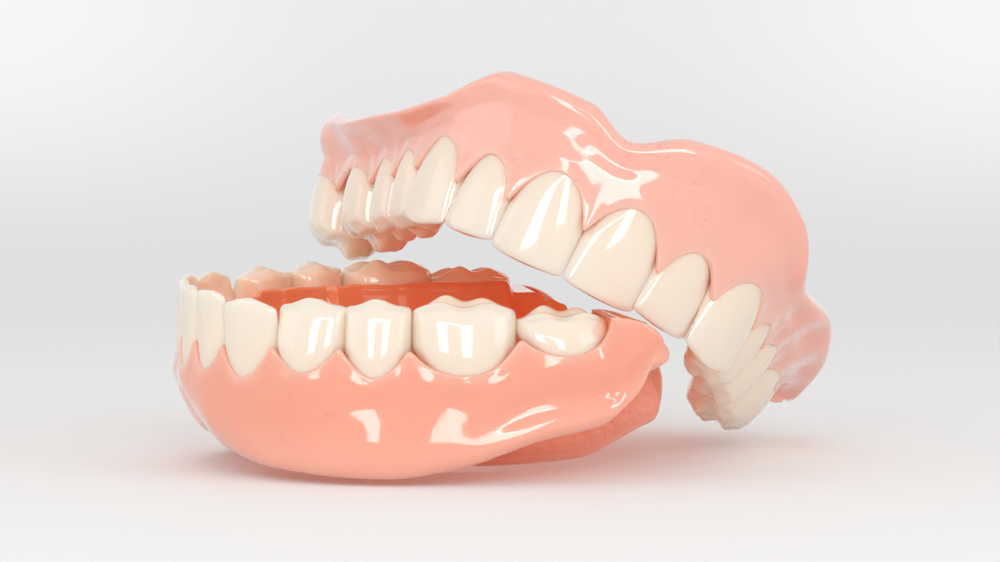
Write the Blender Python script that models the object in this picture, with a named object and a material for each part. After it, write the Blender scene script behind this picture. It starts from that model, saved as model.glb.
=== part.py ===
"""Full denture: a matched upper and lower complete denture, the upper one leaning on the lower.

Each denture is a pink acrylic base with fourteen moulded teeth bonded into sockets in it.
The lower denture stands on its borders, with its front towards -Y and the wearer's left at +X.
The upper denture is turned and tipped: its left second molar stands on the floor, its left front
teeth lean on the outside of the lower denture's left heel, and its right molars lie on the
lower denture's right molars.

A place on a denture is given by three lengths: along its arch from the midline (positive to the
wearer's left), out from the arch line (towards the lips and cheeks), and deep from the occlusal
plane (towards the gum).
"""

import math
from bisect import bisect_right
from dataclasses import dataclass

import bmesh
import bpy
from mathutils import Euler, Vector

MM = 0.001
LEFT, RIGHT = 1, -1


@dataclass(frozen=True)
class Tooth:
    """One denture tooth; lengths in metres."""
    name: str
    kind: str
    width: float    # along the arch, at its contact points
    crown: float    # from the tip to the gum's edge
    thick: float    # from the cheek side to the tongue side, at the neck
    neck: float     # how far the neck stands outside the arch line
    short: float    # how far the tip stops short of the occlusal plane
    outset: float   # how far the whole tooth stands outside the arch line
    papilla: float  # height of the gum between this tooth and the next one back, above the neck


def tooth(name, kind, *lengths_mm):
    """A tooth from its name, its kind and its lengths in millimetres, in the order above."""
    return Tooth(name, kind, *(length * MM for length in lengths_mm))


UPPER_RIGHT_TEETH = (
    tooth("central_incisor", "incisor", 8.6, 10.2, 6.4, 2.2, -0.2, 0.0, 5.0),
    tooth("lateral_incisor", "incisor", 6.7, 8.9, 5.6, 1.7, 0.4, 0.0, 4.8),
    tooth("canine", "canine", 7.8, 9.9, 6.8, 2.0, 0.0, 0.0, 4.6),
    tooth("first_premolar", "premolar", 7.1, 8.3, 8.4, 1.9, 0.0, -0.7, 4.0),
    tooth("second_premolar", "premolar", 6.9, 7.8, 8.4, 1.9, -0.2, -0.9, 3.6),
    tooth("first_molar", "molar", 10.0, 7.1, 10.4, 2.2, -0.5, 0.2, 3.0),
    tooth("second_molar", "molar", 9.4, 7.1, 10.8, 3.3, -1.3, 1.8, 2.2),
)
# On the left the canine stands further out, and the last molar rises.
UPPER_LEFT_TEETH = UPPER_RIGHT_TEETH[:2] + (
    tooth("canine", "canine", 7.8, 10.2, 6.8, 2.0, -0.3, 1.8, 4.6),
    tooth("first_premolar", "premolar", 7.1, 8.8, 8.4, 1.6, -0.5, 0.6, 4.0),
    tooth("second_premolar", "premolar", 6.9, 8.6, 8.4, 1.4, -0.8, 0.2, 3.6),
    tooth("first_molar", "molar", 10.0, 8.0, 9.8, 1.5, -1.2, 0.0, 3.0),
    tooth("second_molar", "molar", 9.4, 6.6, 9.2, 1.2, 0.2, -0.2, 2.2),
)
LOWER_TEETH = (
    tooth("central_incisor", "incisor", 5.4, 8.6, 5.2, 1.0, 0.0, 0.0, 3.0),
    tooth("lateral_incisor", "incisor", 6.0, 8.4, 5.4, 0.9, 0.0, 0.0, 3.0),
    tooth("canine", "canine", 6.8, 8.3, 6.4, 1.2, 0.3, 0.0, 3.0),
    tooth("first_premolar", "premolar", 7.0, 7.8, 7.0, 1.8, 0.0, 0.0, 2.9),
    tooth("second_premolar", "premolar", 7.3, 8.0, 7.6, 1.8, 0.0, 0.0, 2.8),
    tooth("first_molar", "molar", 11.0, 7.5, 9.4, 1.8, 0.2, 0.0, 2.6),
    tooth("second_molar", "molar", 10.2, 5.0, 8.8, 1.6, 0.8, 0.0, 1.6),
)


@dataclass(frozen=True)
class Arch:
    """The plan curve through the biting edges: a superellipse with straight legs."""
    half_width: float
    length: float
    squareness: float


UPPER_ARCH = Arch(half_width=27.4 * MM, length=50.5 * MM, squareness=2.32)
LOWER_ARCH = Arch(half_width=24.6 * MM, length=44.1 * MM, squareness=2.34)
ARCH_LEG = 20 * MM
ARCH_STEPS = 360

# How deep each border of the bases reaches below the occlusal plane, as stations of millimetres
# along the arch and deep from the plane. Each dip at the midline or at a premolar is a notch
# that clears a fold of the lip or the cheek.
UPPER_BORDER_LEFT = ((0, 16.5), (5.5, 19.6), (13, 20.8), (19, 19.0), (24, 14.9), (30, 14.3),
                     (37, 14.9), (45, 13.2), (52, 11.8), (57, 10.8), (60, 8.6))
UPPER_BORDER_RIGHT = ((0, 16.5), (5, 18.6), (13.5, 18.6), (20, 14.4), (28, 12.0), (38, 11.4),
                      (47, 13.1), (53, 14.1), (57, 13.4), (60, 10.8))
LOWER_BORDER_LEFT = ((0, 15.6), (5, 16.6), (17.5, 18.4), (30, 18.8), (38, 17.6), (46, 14.6),
                     (54, 11.2), (60, 8.2))
LOWER_BORDER_RIGHT = ((0, 15.6), (5, 17.0), (17.5, 19.6), (30, 21.2), (38, 20.2), (46, 17.4),
                      (54, 14.0), (60, 11.0))
LOWER_TONGUE_BORDER_LEFT = ((0, 15.2), (15, 16.6), (32, 19.2), (42, 19.5), (50, 19.4), (60, 16.4))
LOWER_TONGUE_BORDER_RIGHT = ((0, 15.2), (15, 17.4), (32, 20.6), (42, 21.4), (50, 21.0), (60, 18.0))

# Where those borders stand, as stations of millimetres along the arch and out from its line.
UPPER_BORDER_OUT_LEFT = ((0, 1.8), (12, 4.2), (22, 4.8), (30, 4.2), (40, 3.8), (56, 2.6), (60, 1.4))
UPPER_BORDER_OUT_RIGHT = ((0, 1.8), (12, 3.0), (24, 3.4), (40, 4.8), (52, 6.0), (56, 5.7), (60, 4.0))
LOWER_BORDER_OUT = ((0, -2.4), (10, -1.6), (24, 1.2), (36, 2.4), (48, 2.8), (60, 1.6))

# The tongue side's border stands in from the arch by a share of its half width, so that it keeps
# clear of the tight curve in front whatever that width is.
TONGUE_HALF_WIDTH = 24.6 * MM
TONGUE_SHARE = LOWER_ARCH.half_width / TONGUE_HALF_WIDTH
LOWER_TONGUE_OUT = tuple((place, out * TONGUE_SHARE) for place, out in (
    (0, -10.4), (20, -10.2), (36, -10.4), (50, -10.6), (60, -8.2)))

# How deep the bottom of the channel for the gum ridge lies, in the same way.
UPPER_CREST = ((0, 13.8), (20, 13.4), (30, 11.8), (42, 10.4), (60, 9.4))
LOWER_CREST = ((0, 13.0), (20, 13.0), (38, 12.0), (48, 9.6), (60, 6.4))
UPPER_CHANNEL_HALF = 3.4 * MM
LOWER_CHANNEL_HALF = 2.4 * MM

# The palate plate: its polished side's height at stations back from the incisal edges.
PALATE_HEIGHT = ((10, 13.6), (16, 14.8), (26, 17.0), (38, 17.4), (48, 16.6))
PALATE_FRONT = 13.0 * MM
PALATE_BACK = 45.0 * MM
PALATE_THICK = 2.2 * MM
PALATE_SLOPE_OUT = 3.6 * MM

BORDER_ROLL = 1.3 * MM
GUM_LIP = 0.6 * MM
GUM_BULGE = 0.25 * MM
GUM_EDGE_DROP = 1.4 * MM
PAPILLA_RECESS = 0.9 * MM
PAPILLA_SHARPNESS = 1.7
TONGUE_NECK_SHARE = 0.62
PALATE_NECK_SHARE = 0.66
SADDLE_DROP = 0.5 * MM
POLISH_DIP = 0.5 * MM
CREST_STEP = 0.9 * MM

# The pads behind the last teeth.
UPPER_PAD_DEEP = 4.6 * MM
LOWER_PAD_DEEP = 2.0 * MM
PAD_FACIAL_OUT = 2.2 * MM
UPPER_PAD_TONGUE_OUT = 8.2 * MM
LOWER_PAD_TONGUE_OUT = 5.6 * MM
PAD_RISE = 2.4 * MM
UPPER_PAD_LENGTH = 2.6 * MM
LOWER_PAD_LENGTH = 4.2 * MM
END_ROUND = 2.0 * MM
FLANGE_START = 40.0 * MM
FLANGE_SWEEP = 2.2 * MM
BACKWARDS = Vector((0, END_ROUND, 0))

TOOTH_GAP = 0.4 * MM
SOCKET_GAP = 0.3 * MM
ROOT_LENGTH = 1.6 * MM
EDGE_THICK = 1.1 * MM
TAPER_START = 0.2

# How finely the solids are faceted.
TOOTH_CUTS = 4
RINGS_PER_TOOTH = 4
RINGS_PER_PAD = 2
RINGS_PER_END = 2
MERGE = 0.00002

# The stand of the two dentures.
LOWER_AT = (1.0 * MM, -0.3 * MM, 19.1 * MM)
LOWER_TURN = (math.radians(0.8), math.radians(3.1), 0.0)
UPPER_AT = (20.6 * MM, 37.06 * MM, 20.15 * MM)
UPPER_TURN = (math.radians(-15.7), math.radians(25.9), math.radians(72.2))

PINK = (0.94, 0.46, 0.38, 1.0)
IVORY = (0.93, 0.84, 0.70, 1.0)
ACRYLIC_ROUGHNESS = 0.16
TOOTH_ROUGHNESS = 0.22


def blend(start, end, share):
    """The value a share of the way from start to end."""
    return start + (end - start) * share


def ease(share):
    """A share from 0 to 1 that leaves and arrives gently."""
    share = min(max(share, 0.0), 1.0)
    return share * share * (3 - 2 * share)


def at_station(stations, place):
    """A length read from stations in millimetres, on smooth curves between them."""
    place_mm = min(max(place / MM, stations[0][0]), stations[-1][0])
    after = min(max(bisect_right([station[0] for station in stations], place_mm), 1),
                len(stations) - 1)
    (x0, y0), (x1, y1) = stations[after - 1], stations[after]

    def slope(index):
        if index in (0, len(stations) - 1):
            return 0.0
        (xa, ya), (xb, yb), (xc, yc) = stations[index - 1:index + 2]
        before, beyond = (yb - ya) / (xb - xa), (yc - yb) / (xc - xb)
        if before * beyond <= 0:
            return 0.0
        return 2 * before * beyond / (before + beyond)

    step, share = x1 - x0, (place_mm - x0) / (x1 - x0)
    rise = slope(after - 1) * step * share * (1 - share) ** 2
    fall = slope(after) * step * share * share * (share - 1)
    return (blend(y0, y1, ease(share)) + rise + fall) * MM


class ArchCurve:
    """An arch with its length measured along it, so that teeth are set by their widths."""

    def __init__(self, arch):
        half = []
        for step in range(ARCH_STEPS + 1):
            angle = math.pi / 2 * step / ARCH_STEPS
            x = arch.half_width * math.sin(angle) ** (2 / arch.squareness)
            y = arch.length * (1 - math.cos(angle) ** (2 / arch.squareness))
            half.append(Vector((x, y)))
        half.append(Vector((arch.half_width, arch.length + ARCH_LEG)))
        self.points = [Vector((-point.x, point.y)) for point in reversed(half[1:])] + half
        self.places = [0.0]
        for start, end in zip(self.points, self.points[1:]):
            self.places.append(self.places[-1] + (end - start).length)
        middle = self.places[-1] / 2
        self.places = [place - middle for place in self.places]

    def on_line(self, along):
        """The plan point at a length along the arch."""
        after = min(max(bisect_right(self.places, along), 1), len(self.places) - 1)
        start, end = self.places[after - 1], self.places[after]
        return self.points[after - 1].lerp(self.points[after], (along - start) / (end - start))

    def outward(self, along):
        """The plan direction towards the lips and cheeks."""
        reach = 0.4 * MM
        run = self.on_line(along + reach) - self.on_line(along - reach)
        return Vector((run.y, -run.x)).normalized()


class Denture:
    """The sizes of one denture, read at any place along its arch."""

    def __init__(self, name, arch, left_teeth, right_teeth, upper):
        self.name = name
        self.curve = ArchCurve(arch)
        self.teeth = {LEFT: left_teeth, RIGHT: right_teeth}
        self.upper = upper
        self.root_sign = 1 if upper else -1
        self.edges = [0.0]
        for spec in left_teeth:
            self.edges.append(self.edges[-1] + spec.width)
        pad = UPPER_PAD_LENGTH if self.upper else LOWER_PAD_LENGTH
        self.end = self.edges[-1] + pad

    def point(self, along, out, deep):
        """The point at three lengths: along the arch, out from it and deep from its plane."""
        plan = self.curve.on_line(along) + self.curve.outward(along) * out
        return Vector((plan.x, plan.y, self.root_sign * deep))

    def border(self, along):
        """Where the lip and cheek border lies: out from the arch line, and deep."""
        place = abs(along)
        if not self.upper:
            depths = LOWER_BORDER_LEFT if along > 0 else LOWER_BORDER_RIGHT
            return at_station(LOWER_BORDER_OUT, place), at_station(depths, place)
        if along > 0:
            return at_station(UPPER_BORDER_OUT_LEFT, place), at_station(UPPER_BORDER_LEFT, place)
        return at_station(UPPER_BORDER_OUT_RIGHT, place), at_station(UPPER_BORDER_RIGHT, place)

    def swept(self, along):
        """The place of the tongue side's border, which reaches further back than the rest."""
        reach = FLANGE_SWEEP * ease((abs(along) - FLANGE_START) / (self.end - FLANGE_START))
        return along + math.copysign(reach, along)

    def neck(self, along):
        """The gum's edge on both sides: facial out and deep, tongue side out and deep."""
        place = abs(along)
        teeth = self.teeth[LEFT if along > 0 else RIGHT]
        last = len(teeth) - 1
        index = min(bisect_right(self.edges, place) - 1, last)
        spec = teeth[index]
        middle = self.edges[index] + spec.width / 2
        share = min(abs(place - middle) / (spec.width / 2), 1.0) ** PAPILLA_SHARPNESS
        ahead = index if place > middle else index - 1
        first, second = teeth[max(ahead, 0)], teeth[min(ahead + 1, last)]
        deep = spec.short + spec.crown
        facial = spec.outset + spec.neck
        tongue = facial - spec.thick
        neck_share = PALATE_NECK_SHARE if self.upper else TONGUE_NECK_SHARE
        between_deep = (first.crown + first.short + second.crown + second.short) / 2 - first.papilla
        between_facial = (first.neck + second.neck + first.outset + second.outset) / 2
        between_tongue = between_facial - (first.thick + second.thick) / 2
        tongue_deep = blend(deep, spec.short, 1 - neck_share)
        return (blend(facial, between_facial - PAPILLA_RECESS, share),
                blend(deep, between_deep, share),
                blend(tongue, between_tongue + PAPILLA_RECESS, share),
                blend(tongue_deep, min(between_deep, tongue_deep) - PAPILLA_RECESS / 3, share))

    def gum_edge(self, along):
        """The gum's edge, which runs into the pad behind the last tooth."""
        facial, deep, tongue, tongue_deep = self.neck(along)
        pad = ease((abs(along) - self.edges[-1]) / PAD_RISE)
        pad_deep = UPPER_PAD_DEEP if self.upper else LOWER_PAD_DEEP
        pad_tongue = UPPER_PAD_TONGUE_OUT if self.upper else LOWER_PAD_TONGUE_OUT
        return (blend(facial, PAD_FACIAL_OUT, pad), blend(deep, pad_deep + GUM_LIP, pad),
                blend(tongue, -pad_tongue, pad), blend(tongue_deep, pad_deep + GUM_LIP, pad))

    def polished_side(self, along):
        """The outer face of a section, from the facial border over the gum to the tongue side."""
        facial, deep, tongue, tongue_deep = self.gum_edge(along)
        border_out, border_deep = self.border(along)
        below = min(GUM_EDGE_DROP, (border_deep - BORDER_ROLL - deep) / 2)
        roll = (border_out + BORDER_ROLL, border_deep - BORDER_ROLL)
        edge = (facial + GUM_LIP + GUM_BULGE, deep + below)
        middle = (blend(roll[0], edge[0], 0.5) - POLISH_DIP, blend(roll[1], edge[1], 0.5))
        return [(border_out, border_deep), roll, middle, edge,
                (facial + GUM_LIP * 0.8, deep + GUM_LIP * 0.3),
                (facial - GUM_LIP, deep + SADDLE_DROP),
                (tongue + GUM_LIP, tongue_deep + SADDLE_DROP),
                (tongue - GUM_LIP * 0.8, tongue_deep + GUM_LIP * 0.3)]

    def channel(self, along, facial_wall):
        """The fitting side of a section across the ridge, from the facial border inwards."""
        crest_out, half = self.crest(along)
        crest_deep = at_station(UPPER_CREST if self.upper else LOWER_CREST, abs(along))
        wall_out, wall_deep = facial_wall
        return [(wall_out, wall_deep),
                (blend(wall_out, crest_out + half, 0.5), blend(wall_deep, crest_deep, 0.45)),
                (crest_out + half, crest_deep + CREST_STEP * 1.4),
                (crest_out + half * 0.6, crest_deep + CREST_STEP * 0.3),
                (crest_out, crest_deep),
                (crest_out - half * 0.6, crest_deep + CREST_STEP * 0.3),
                (crest_out - half, crest_deep + CREST_STEP * 1.4)]

    def crest(self, along):
        """The channel's middle, out from the arch line, and half its width at the bottom."""
        half = UPPER_CHANNEL_HALF if self.upper else LOWER_CHANNEL_HALF
        border_out, _ = self.border(along)
        if self.upper:
            return border_out - BORDER_ROLL * 1.6 - half, half
        tongue_out = at_station(LOWER_TONGUE_OUT, abs(along))
        return (border_out + tongue_out) / 2, half

    def lower_ring(self, along):
        """One closed section of the lower base, from its facial border round to the channel."""
        polished = self.polished_side(along)
        _, _, tongue, tongue_deep = self.gum_edge(along)
        border_out = at_station(LOWER_TONGUE_OUT, abs(along))
        depths = LOWER_TONGUE_BORDER_LEFT if along > 0 else LOWER_TONGUE_BORDER_RIGHT
        border_deep = at_station(depths, abs(along))
        roll = (border_out - BORDER_ROLL * 0.4, border_deep - BORDER_ROLL)
        edge = (tongue - GUM_LIP, tongue_deep + GUM_EDGE_DROP)
        middle = (blend(roll[0], edge[0], 0.5) + POLISH_DIP, blend(roll[1], edge[1], 0.5))
        facial_wall = (polished[0][0] - BORDER_ROLL, polished[0][1] - BORDER_ROLL * 0.8)
        tongue_wall = (border_out + BORDER_ROLL * 1.5, border_deep - BORDER_ROLL * 0.8)
        channel = self.channel(along, facial_wall)
        far_wall = (blend(tongue_wall[0], channel[-1][0], 0.5),
                    blend(tongue_wall[1], channel[-1][1], 0.55))
        flange = [middle, roll, (border_out, border_deep), tongue_wall, far_wall]
        return ([self.point(along, out, deep) for out, deep in polished + [edge]]
                + [self.point(self.swept(along), out, deep) for out, deep in flange]
                + [self.point(along, out, deep) for out, deep in reversed(channel)])

    def upper_ring(self, along):
        """One open section of the upper base, from the palate's midline round to it again."""
        polished = self.polished_side(along)
        _, _, tongue, tongue_deep = self.gum_edge(along)
        crest_deep = at_station(UPPER_CREST, abs(along))
        slope_out = tongue - GUM_LIP - PALATE_SLOPE_OUT
        slope = self.point(along, slope_out, crest_deep - PALATE_THICK * 0.2)
        back_slope = self.point(along, slope_out + PALATE_THICK * 1.1, crest_deep + PALATE_THICK)
        middle_y = blend(PALATE_FRONT, PALATE_BACK, (abs(along) / self.end) ** 1.25)
        height = at_station(PALATE_HEIGHT, middle_y)
        middle = Vector((0, middle_y, height))
        back_middle = Vector((0, middle_y, height + PALATE_THICK))
        facial_wall = (polished[0][0] - BORDER_ROLL, polished[0][1] - BORDER_ROLL * 0.8)
        channel = [self.point(along, out, deep) for out, deep in self.channel(along, facial_wall)]
        gum = [self.point(along, out, deep) for out, deep in reversed(polished)]
        gum_foot = self.point(along, tongue - GUM_LIP, tongue_deep + GUM_EDGE_DROP)
        vault = [vault_point(middle, slope, share) for share in (1.0, 0.62, 0.3)]
        back_vault = [vault_point(back_middle, back_slope, share) for share in (0.3, 0.62, 1.0)]
        foot = channel[-1].lerp(back_slope, 0.5)
        return vault + [slope, gum_foot] + gum + channel + [foot, back_slope] + back_vault

    def rings(self, section):
        """The sections of a base in order, with rounded ends."""
        halves = []
        for start, spec in zip(self.edges, self.teeth[LEFT]):
            halves += [start + spec.width * step / RINGS_PER_TOOTH
                       for step in range(RINGS_PER_TOOTH)]
        pad = self.end - self.edges[-1]
        halves += [self.edges[-1] + pad * step / RINGS_PER_PAD for step in range(RINGS_PER_PAD + 1)]
        places = [-place for place in reversed(halves[1:])] + halves
        rings = [section(place) for place in places]
        turns = [math.pi / 2 * step / RINGS_PER_END for step in range(1, RINGS_PER_END + 1)]
        right_end = [rounded(rings[0], turn) for turn in reversed(turns)]
        return right_end + rings + [rounded(rings[-1], turn) for turn in turns]


def vault_point(middle, slope, share):
    """A point of the palate between its slope and its midline, on an arched line."""
    point = slope.lerp(middle, share)
    point.z = blend(slope.z, middle.z, math.sin(math.pi / 2 * share ** 0.85))
    return point


def rounded(ring, turn):
    """A ring that closes towards its own middle line while it runs on backwards."""
    count = len(ring)
    closing = []
    for index, point in enumerate(ring):
        partner = ring[(-index) % count] if count % 2 == 0 else ring[count - 1 - index]
        middle = (point + partner) / 2
        closing.append(middle.lerp(point, math.cos(turn)) + BACKWARDS * math.sin(turn))
    return closing


def bent_grid(name, rings, closed):
    """A mesh from a flat grid whose rows are laid on the rings, closed round or left open."""
    across = len(rings[0]) if closed else len(rings[0]) - 1
    bm = bmesh.new()
    bmesh.ops.create_grid(bm, x_segments=across, y_segments=len(rings) - 1, size=1.0)
    for vert in bm.verts:
        row = round((vert.co.y + 1) / 2 * (len(rings) - 1))
        column = round((vert.co.x + 1) / 2 * across) % len(rings[0])
        vert.co = rings[row][column]
    bmesh.ops.remove_doubles(bm, verts=bm.verts, dist=MERGE)
    face_outwards(bm)
    return to_mesh(name, bm)


def face_outwards(bm):
    """Turn every face of a closed bmesh to point outwards."""
    bm.normal_update()
    bmesh.ops.recalc_face_normals(bm, faces=bm.faces)
    bm.normal_update()


def to_mesh(name, bm):
    """The finished mesh of a bmesh, which is freed."""
    mesh = bpy.data.meshes.new(name)
    bm.to_mesh(mesh)
    bm.free()
    return mesh


def biting_surface(kind, upper, back, out):
    """How far a biting surface drops below the tip; back and out run from -1 to 1."""
    if kind == "incisor":
        return (0.15 * back ** 2 + 0.4 * abs(back) ** 6 * (1.5 if back > 0 else 0.6)) * MM
    if kind == "canine":
        slope = 1.5 if back > 0 else 1.2
        return slope * math.sqrt(back * back + 0.02) ** 1.2 * MM
    groove = 1.5 * math.exp(-(out / 0.42) ** 2)
    if kind == "premolar":
        cheek = 1.2 * back ** 2
        tongue_drop = 0.7 if upper else 1.3
        tongue = tongue_drop + 0.8 * back ** 2
        return (blend(tongue, cheek, ease((out + 1) / 2)) + groove * (1 - 0.35 * abs(back))) * MM
    cusps = 0.45 + 0.45 * math.cos(2 * math.pi * back)
    rim = 0.2 * back ** 4 + 0.15 * (back + 1)
    tongue_drop = 0.2 if upper else 0.5
    return (cusps + rim + tongue_drop * (1 - ease((out + 1) / 2)) + groove * 0.9) * MM


def tooth_outline(spec, upper, deep):
    """The tooth's section at a depth: half width, facial side and tongue side from its line."""
    share = min(max(deep / spec.crown, 0.0), 1.3)
    neck = min(share, 1.0)
    full = (spec.width - TOOTH_GAP) / 2
    tongue = spec.thick - spec.neck
    if spec.kind in ("incisor", "canine"):
        narrow = 0.04 * max(1 - share / 0.25, 0) ** 2 + 0.33 * max((neck - 0.3) / 0.7, 0) ** 1.4
        facial = blend(EDGE_THICK / 2, spec.neck, 1 - (1 - neck) ** 1.7)
        inner = blend(EDGE_THICK / 2, tongue, neck ** 1.35)
        return full * (1 - narrow), facial, inner
    shrink = 0.30 if spec.kind == "premolar" else 0.20
    narrow = 0.10 * max(1 - share / 0.35, 0) ** 2 + shrink * max((neck - 0.35) / 0.65, 0) ** 1.4
    belly = math.sin(math.pi * min(neck, 1.0) ** 0.8)
    facial = blend(0.25 * MM, spec.neck, neck ** 0.6) + 0.35 * MM * belly
    inner = blend(tongue - 1.6 * MM, tongue, neck ** 0.6) + 0.3 * MM * belly
    return full * (1 - narrow), facial, inner


def tooth_mesh(name, spec, upper, side, grow):
    """A tooth bent from a subdivided cube: biting surface on top, root in the socket below.

    Its own axes are X along the arch, -Y to the lips or cheek and Z to the root of an upper tooth.
    """
    bm = bmesh.new()
    bmesh.ops.create_cube(bm, size=2.0)
    bmesh.ops.subdivide_edges(bm, edges=bm.edges, cuts=TOOTH_CUTS - 1, use_grid_fill=True)
    root_sign = 1 if upper else -1
    full_depth = spec.crown + ROOT_LENGTH
    taper = 0.6 if spec.kind in ("incisor", "canine") else 0.26
    for vert in bm.verts:
        back, out, top = vert.co
        down = ((1 - top) / 2) ** 1.15
        deep = blend(biting_surface(spec.kind, upper, back, out), full_depth, down)
        half, facial, inner = tooth_outline(spec, upper, deep)
        across = back * math.sqrt(1 - 0.42 * out * out)
        through = out * math.sqrt(1 - 0.42 * back * back)
        centre = (facial - inner) / 2
        reach = (facial + inner) / 2
        x = across * half * (1 - taper * max(TAPER_START - through, 0) / (1 + TAPER_START))
        y = -(centre + through * reach)
        vert.co = (side * x, y, root_sign * (deep + spec.short))
    face_outwards(bm)
    if grow:
        moves = [vert.normal * grow * vert.calc_shell_factor() for vert in bm.verts]
        for vert, move in zip(bm.verts, moves):
            vert.co += move
    return to_mesh(name, bm)


def material(name, colour, roughness):
    """A plain glossy plastic."""
    made = bpy.data.materials.new(name)
    made.use_nodes = True
    shader = made.node_tree.nodes["Principled BSDF"]
    shader.inputs["Base Color"].default_value = colour
    shader.inputs["Roughness"].default_value = roughness
    shader.inputs["Metallic"].default_value = 0.0
    return made


def place(name, mesh, parent, finish=None, location=(0, 0, 0), turn=0.0):
    """An object for a mesh, standing on its parent."""
    item = bpy.data.objects.new(name, mesh)
    item.parent = parent
    item.location = location
    item.rotation_euler = (0, 0, turn)
    if finish:
        mesh.materials.append(finish)
    mesh.shade_smooth()
    mesh.set_sharp_from_angle(angle=math.radians(50))
    bpy.context.scene.collection.objects.link(item)
    return item


def build_teeth(denture, parent, finish):
    """The fourteen teeth of a denture, and a cutter for each one's socket."""
    cutters = bpy.data.collections.new(f"{denture.name}_sockets")
    bpy.context.scene.collection.children.link(cutters)
    for side, side_name in ((LEFT, "left"), (RIGHT, "right")):
        for start, spec in zip(denture.edges, denture.teeth[side]):
            name = f"{denture.name}_{side_name}_{spec.name}"
            along = side * (start + spec.width / 2)
            out = denture.curve.outward(along)
            spot = denture.point(along, spec.outset, 0.0)
            turn = math.atan2(out.x, -out.y)
            crown = tooth_mesh(name, spec, denture.upper, side, 0.0)
            place(name, crown, parent, finish, spot, turn)
            socket = tooth_mesh(f"{name}_socket", spec, denture.upper, side, SOCKET_GAP)
            cutter = place(f"{name}_socket", socket, parent, None, spot, turn)
            cutter.hide_render = True
            cutter.display_type = "WIRE"
            bpy.context.scene.collection.objects.unlink(cutter)
            cutters.objects.link(cutter)
    return cutters


def build_denture(denture, parent, pink, ivory):
    """A base with its teeth."""
    cutters = build_teeth(denture, parent, ivory)
    if denture.upper:
        mesh = bent_grid("upper_base", denture.rings(denture.upper_ring), closed=False)
    else:
        mesh = bent_grid("lower_base", denture.rings(denture.lower_ring), closed=True)
    base = place(f"{denture.name}_base", mesh, parent, pink)
    sockets = base.modifiers.new("sockets", "BOOLEAN")
    sockets.operation = "DIFFERENCE"
    sockets.solver = "MANIFOLD"
    sockets.operand_type = "COLLECTION"
    sockets.collection = cutters


def empty(name, parent=None, location=(0, 0, 0), turn=(0, 0, 0)):
    """An empty that carries a denture or the whole set."""
    item = bpy.data.objects.new(name, None)
    item.parent = parent
    item.location = location
    item.rotation_euler = turn
    bpy.context.scene.collection.objects.link(item)
    return item


def stand_on_origin(root):
    """Move the set so that its box stands on the floor, centred over the origin."""
    bpy.context.view_layer.update()
    graph = bpy.context.evaluated_depsgraph_get()
    corners = []
    for item in bpy.context.scene.objects:
        if item.type == "MESH" and not item.hide_render:
            seen = item.evaluated_get(graph)
            corners += [item.matrix_world @ vert.co for vert in seen.data.vertices]
    low = Vector([min(corner[axis] for corner in corners) for axis in range(3)])
    high = Vector([max(corner[axis] for corner in corners) for axis in range(3)])
    root.location = (-(low.x + high.x) / 2, -(low.y + high.y) / 2, -low.z)
    bpy.context.view_layer.update()


def main():
    """Build the set on a cleared scene."""
    for item in list(bpy.data.objects):
        bpy.data.objects.remove(item)
    pink = material("pink_acrylic", PINK, ACRYLIC_ROUGHNESS)
    ivory = material("ivory_tooth", IVORY, TOOTH_ROUGHNESS)
    root = empty("full_denture")
    lower_stand = empty("lower_denture", root, LOWER_AT, Euler(LOWER_TURN))
    upper_stand = empty("upper_denture", root, UPPER_AT, Euler(UPPER_TURN))
    lower = Denture("lower", LOWER_ARCH, LOWER_TEETH, LOWER_TEETH, upper=False)
    upper = Denture("upper", UPPER_ARCH, UPPER_LEFT_TEETH, UPPER_RIGHT_TEETH, upper=True)
    build_denture(lower, lower_stand, pink, ivory)
    build_denture(upper, upper_stand, pink, ivory)
    stand_on_origin(root)


main()
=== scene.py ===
"""Full denture: the visual model of a matched upper and lower denture.

Every form is read from the same lengths as the solids: a place on a denture is given by how far it
lies along the arch from the midline (positive to the wearer's left), how far out from the arch line,
and how deep from the occlusal plane. Lengths are in metres.
"""

import logging
import math
from bisect import bisect_right
from dataclasses import dataclass
from enum import Enum
from typing import Self

import bmesh
import bpy
from mathutils import Euler, Matrix, Vector


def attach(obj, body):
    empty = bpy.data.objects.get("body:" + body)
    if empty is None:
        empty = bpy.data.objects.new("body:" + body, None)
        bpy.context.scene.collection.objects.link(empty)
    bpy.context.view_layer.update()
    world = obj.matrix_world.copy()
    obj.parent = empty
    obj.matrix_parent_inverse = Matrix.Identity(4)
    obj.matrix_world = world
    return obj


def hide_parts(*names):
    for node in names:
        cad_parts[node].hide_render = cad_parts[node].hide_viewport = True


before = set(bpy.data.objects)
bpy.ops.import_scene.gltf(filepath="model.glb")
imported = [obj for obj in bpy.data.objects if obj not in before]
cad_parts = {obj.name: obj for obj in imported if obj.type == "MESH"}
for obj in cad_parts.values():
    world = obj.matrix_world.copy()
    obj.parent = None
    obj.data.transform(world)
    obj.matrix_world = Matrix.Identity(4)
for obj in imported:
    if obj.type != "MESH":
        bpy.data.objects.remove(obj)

MM = 0.001
log = logging.getLogger("full_denture")

Colour = tuple[float, float, float]
Place = tuple[float, float]                     # out and deep
Edge = tuple[float, float, float, float]        # facial out, deep, tongue side out, deep
Value = float | tuple[float, ...] | Vector | bpy.types.NodeSocket


class Jaw(Enum):
    """Which denture a piece belongs to."""
    UPPER = "upper"
    LOWER = "lower"


class Side(Enum):
    """A side of the wearer, as the sign of its places along the arch."""
    LEFT = 1
    RIGHT = -1


class Kind(Enum):
    """The form of a tooth."""
    INCISOR = "incisor"
    CANINE = "canine"
    PREMOLAR = "premolar"
    MOLAR = "molar"


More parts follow.
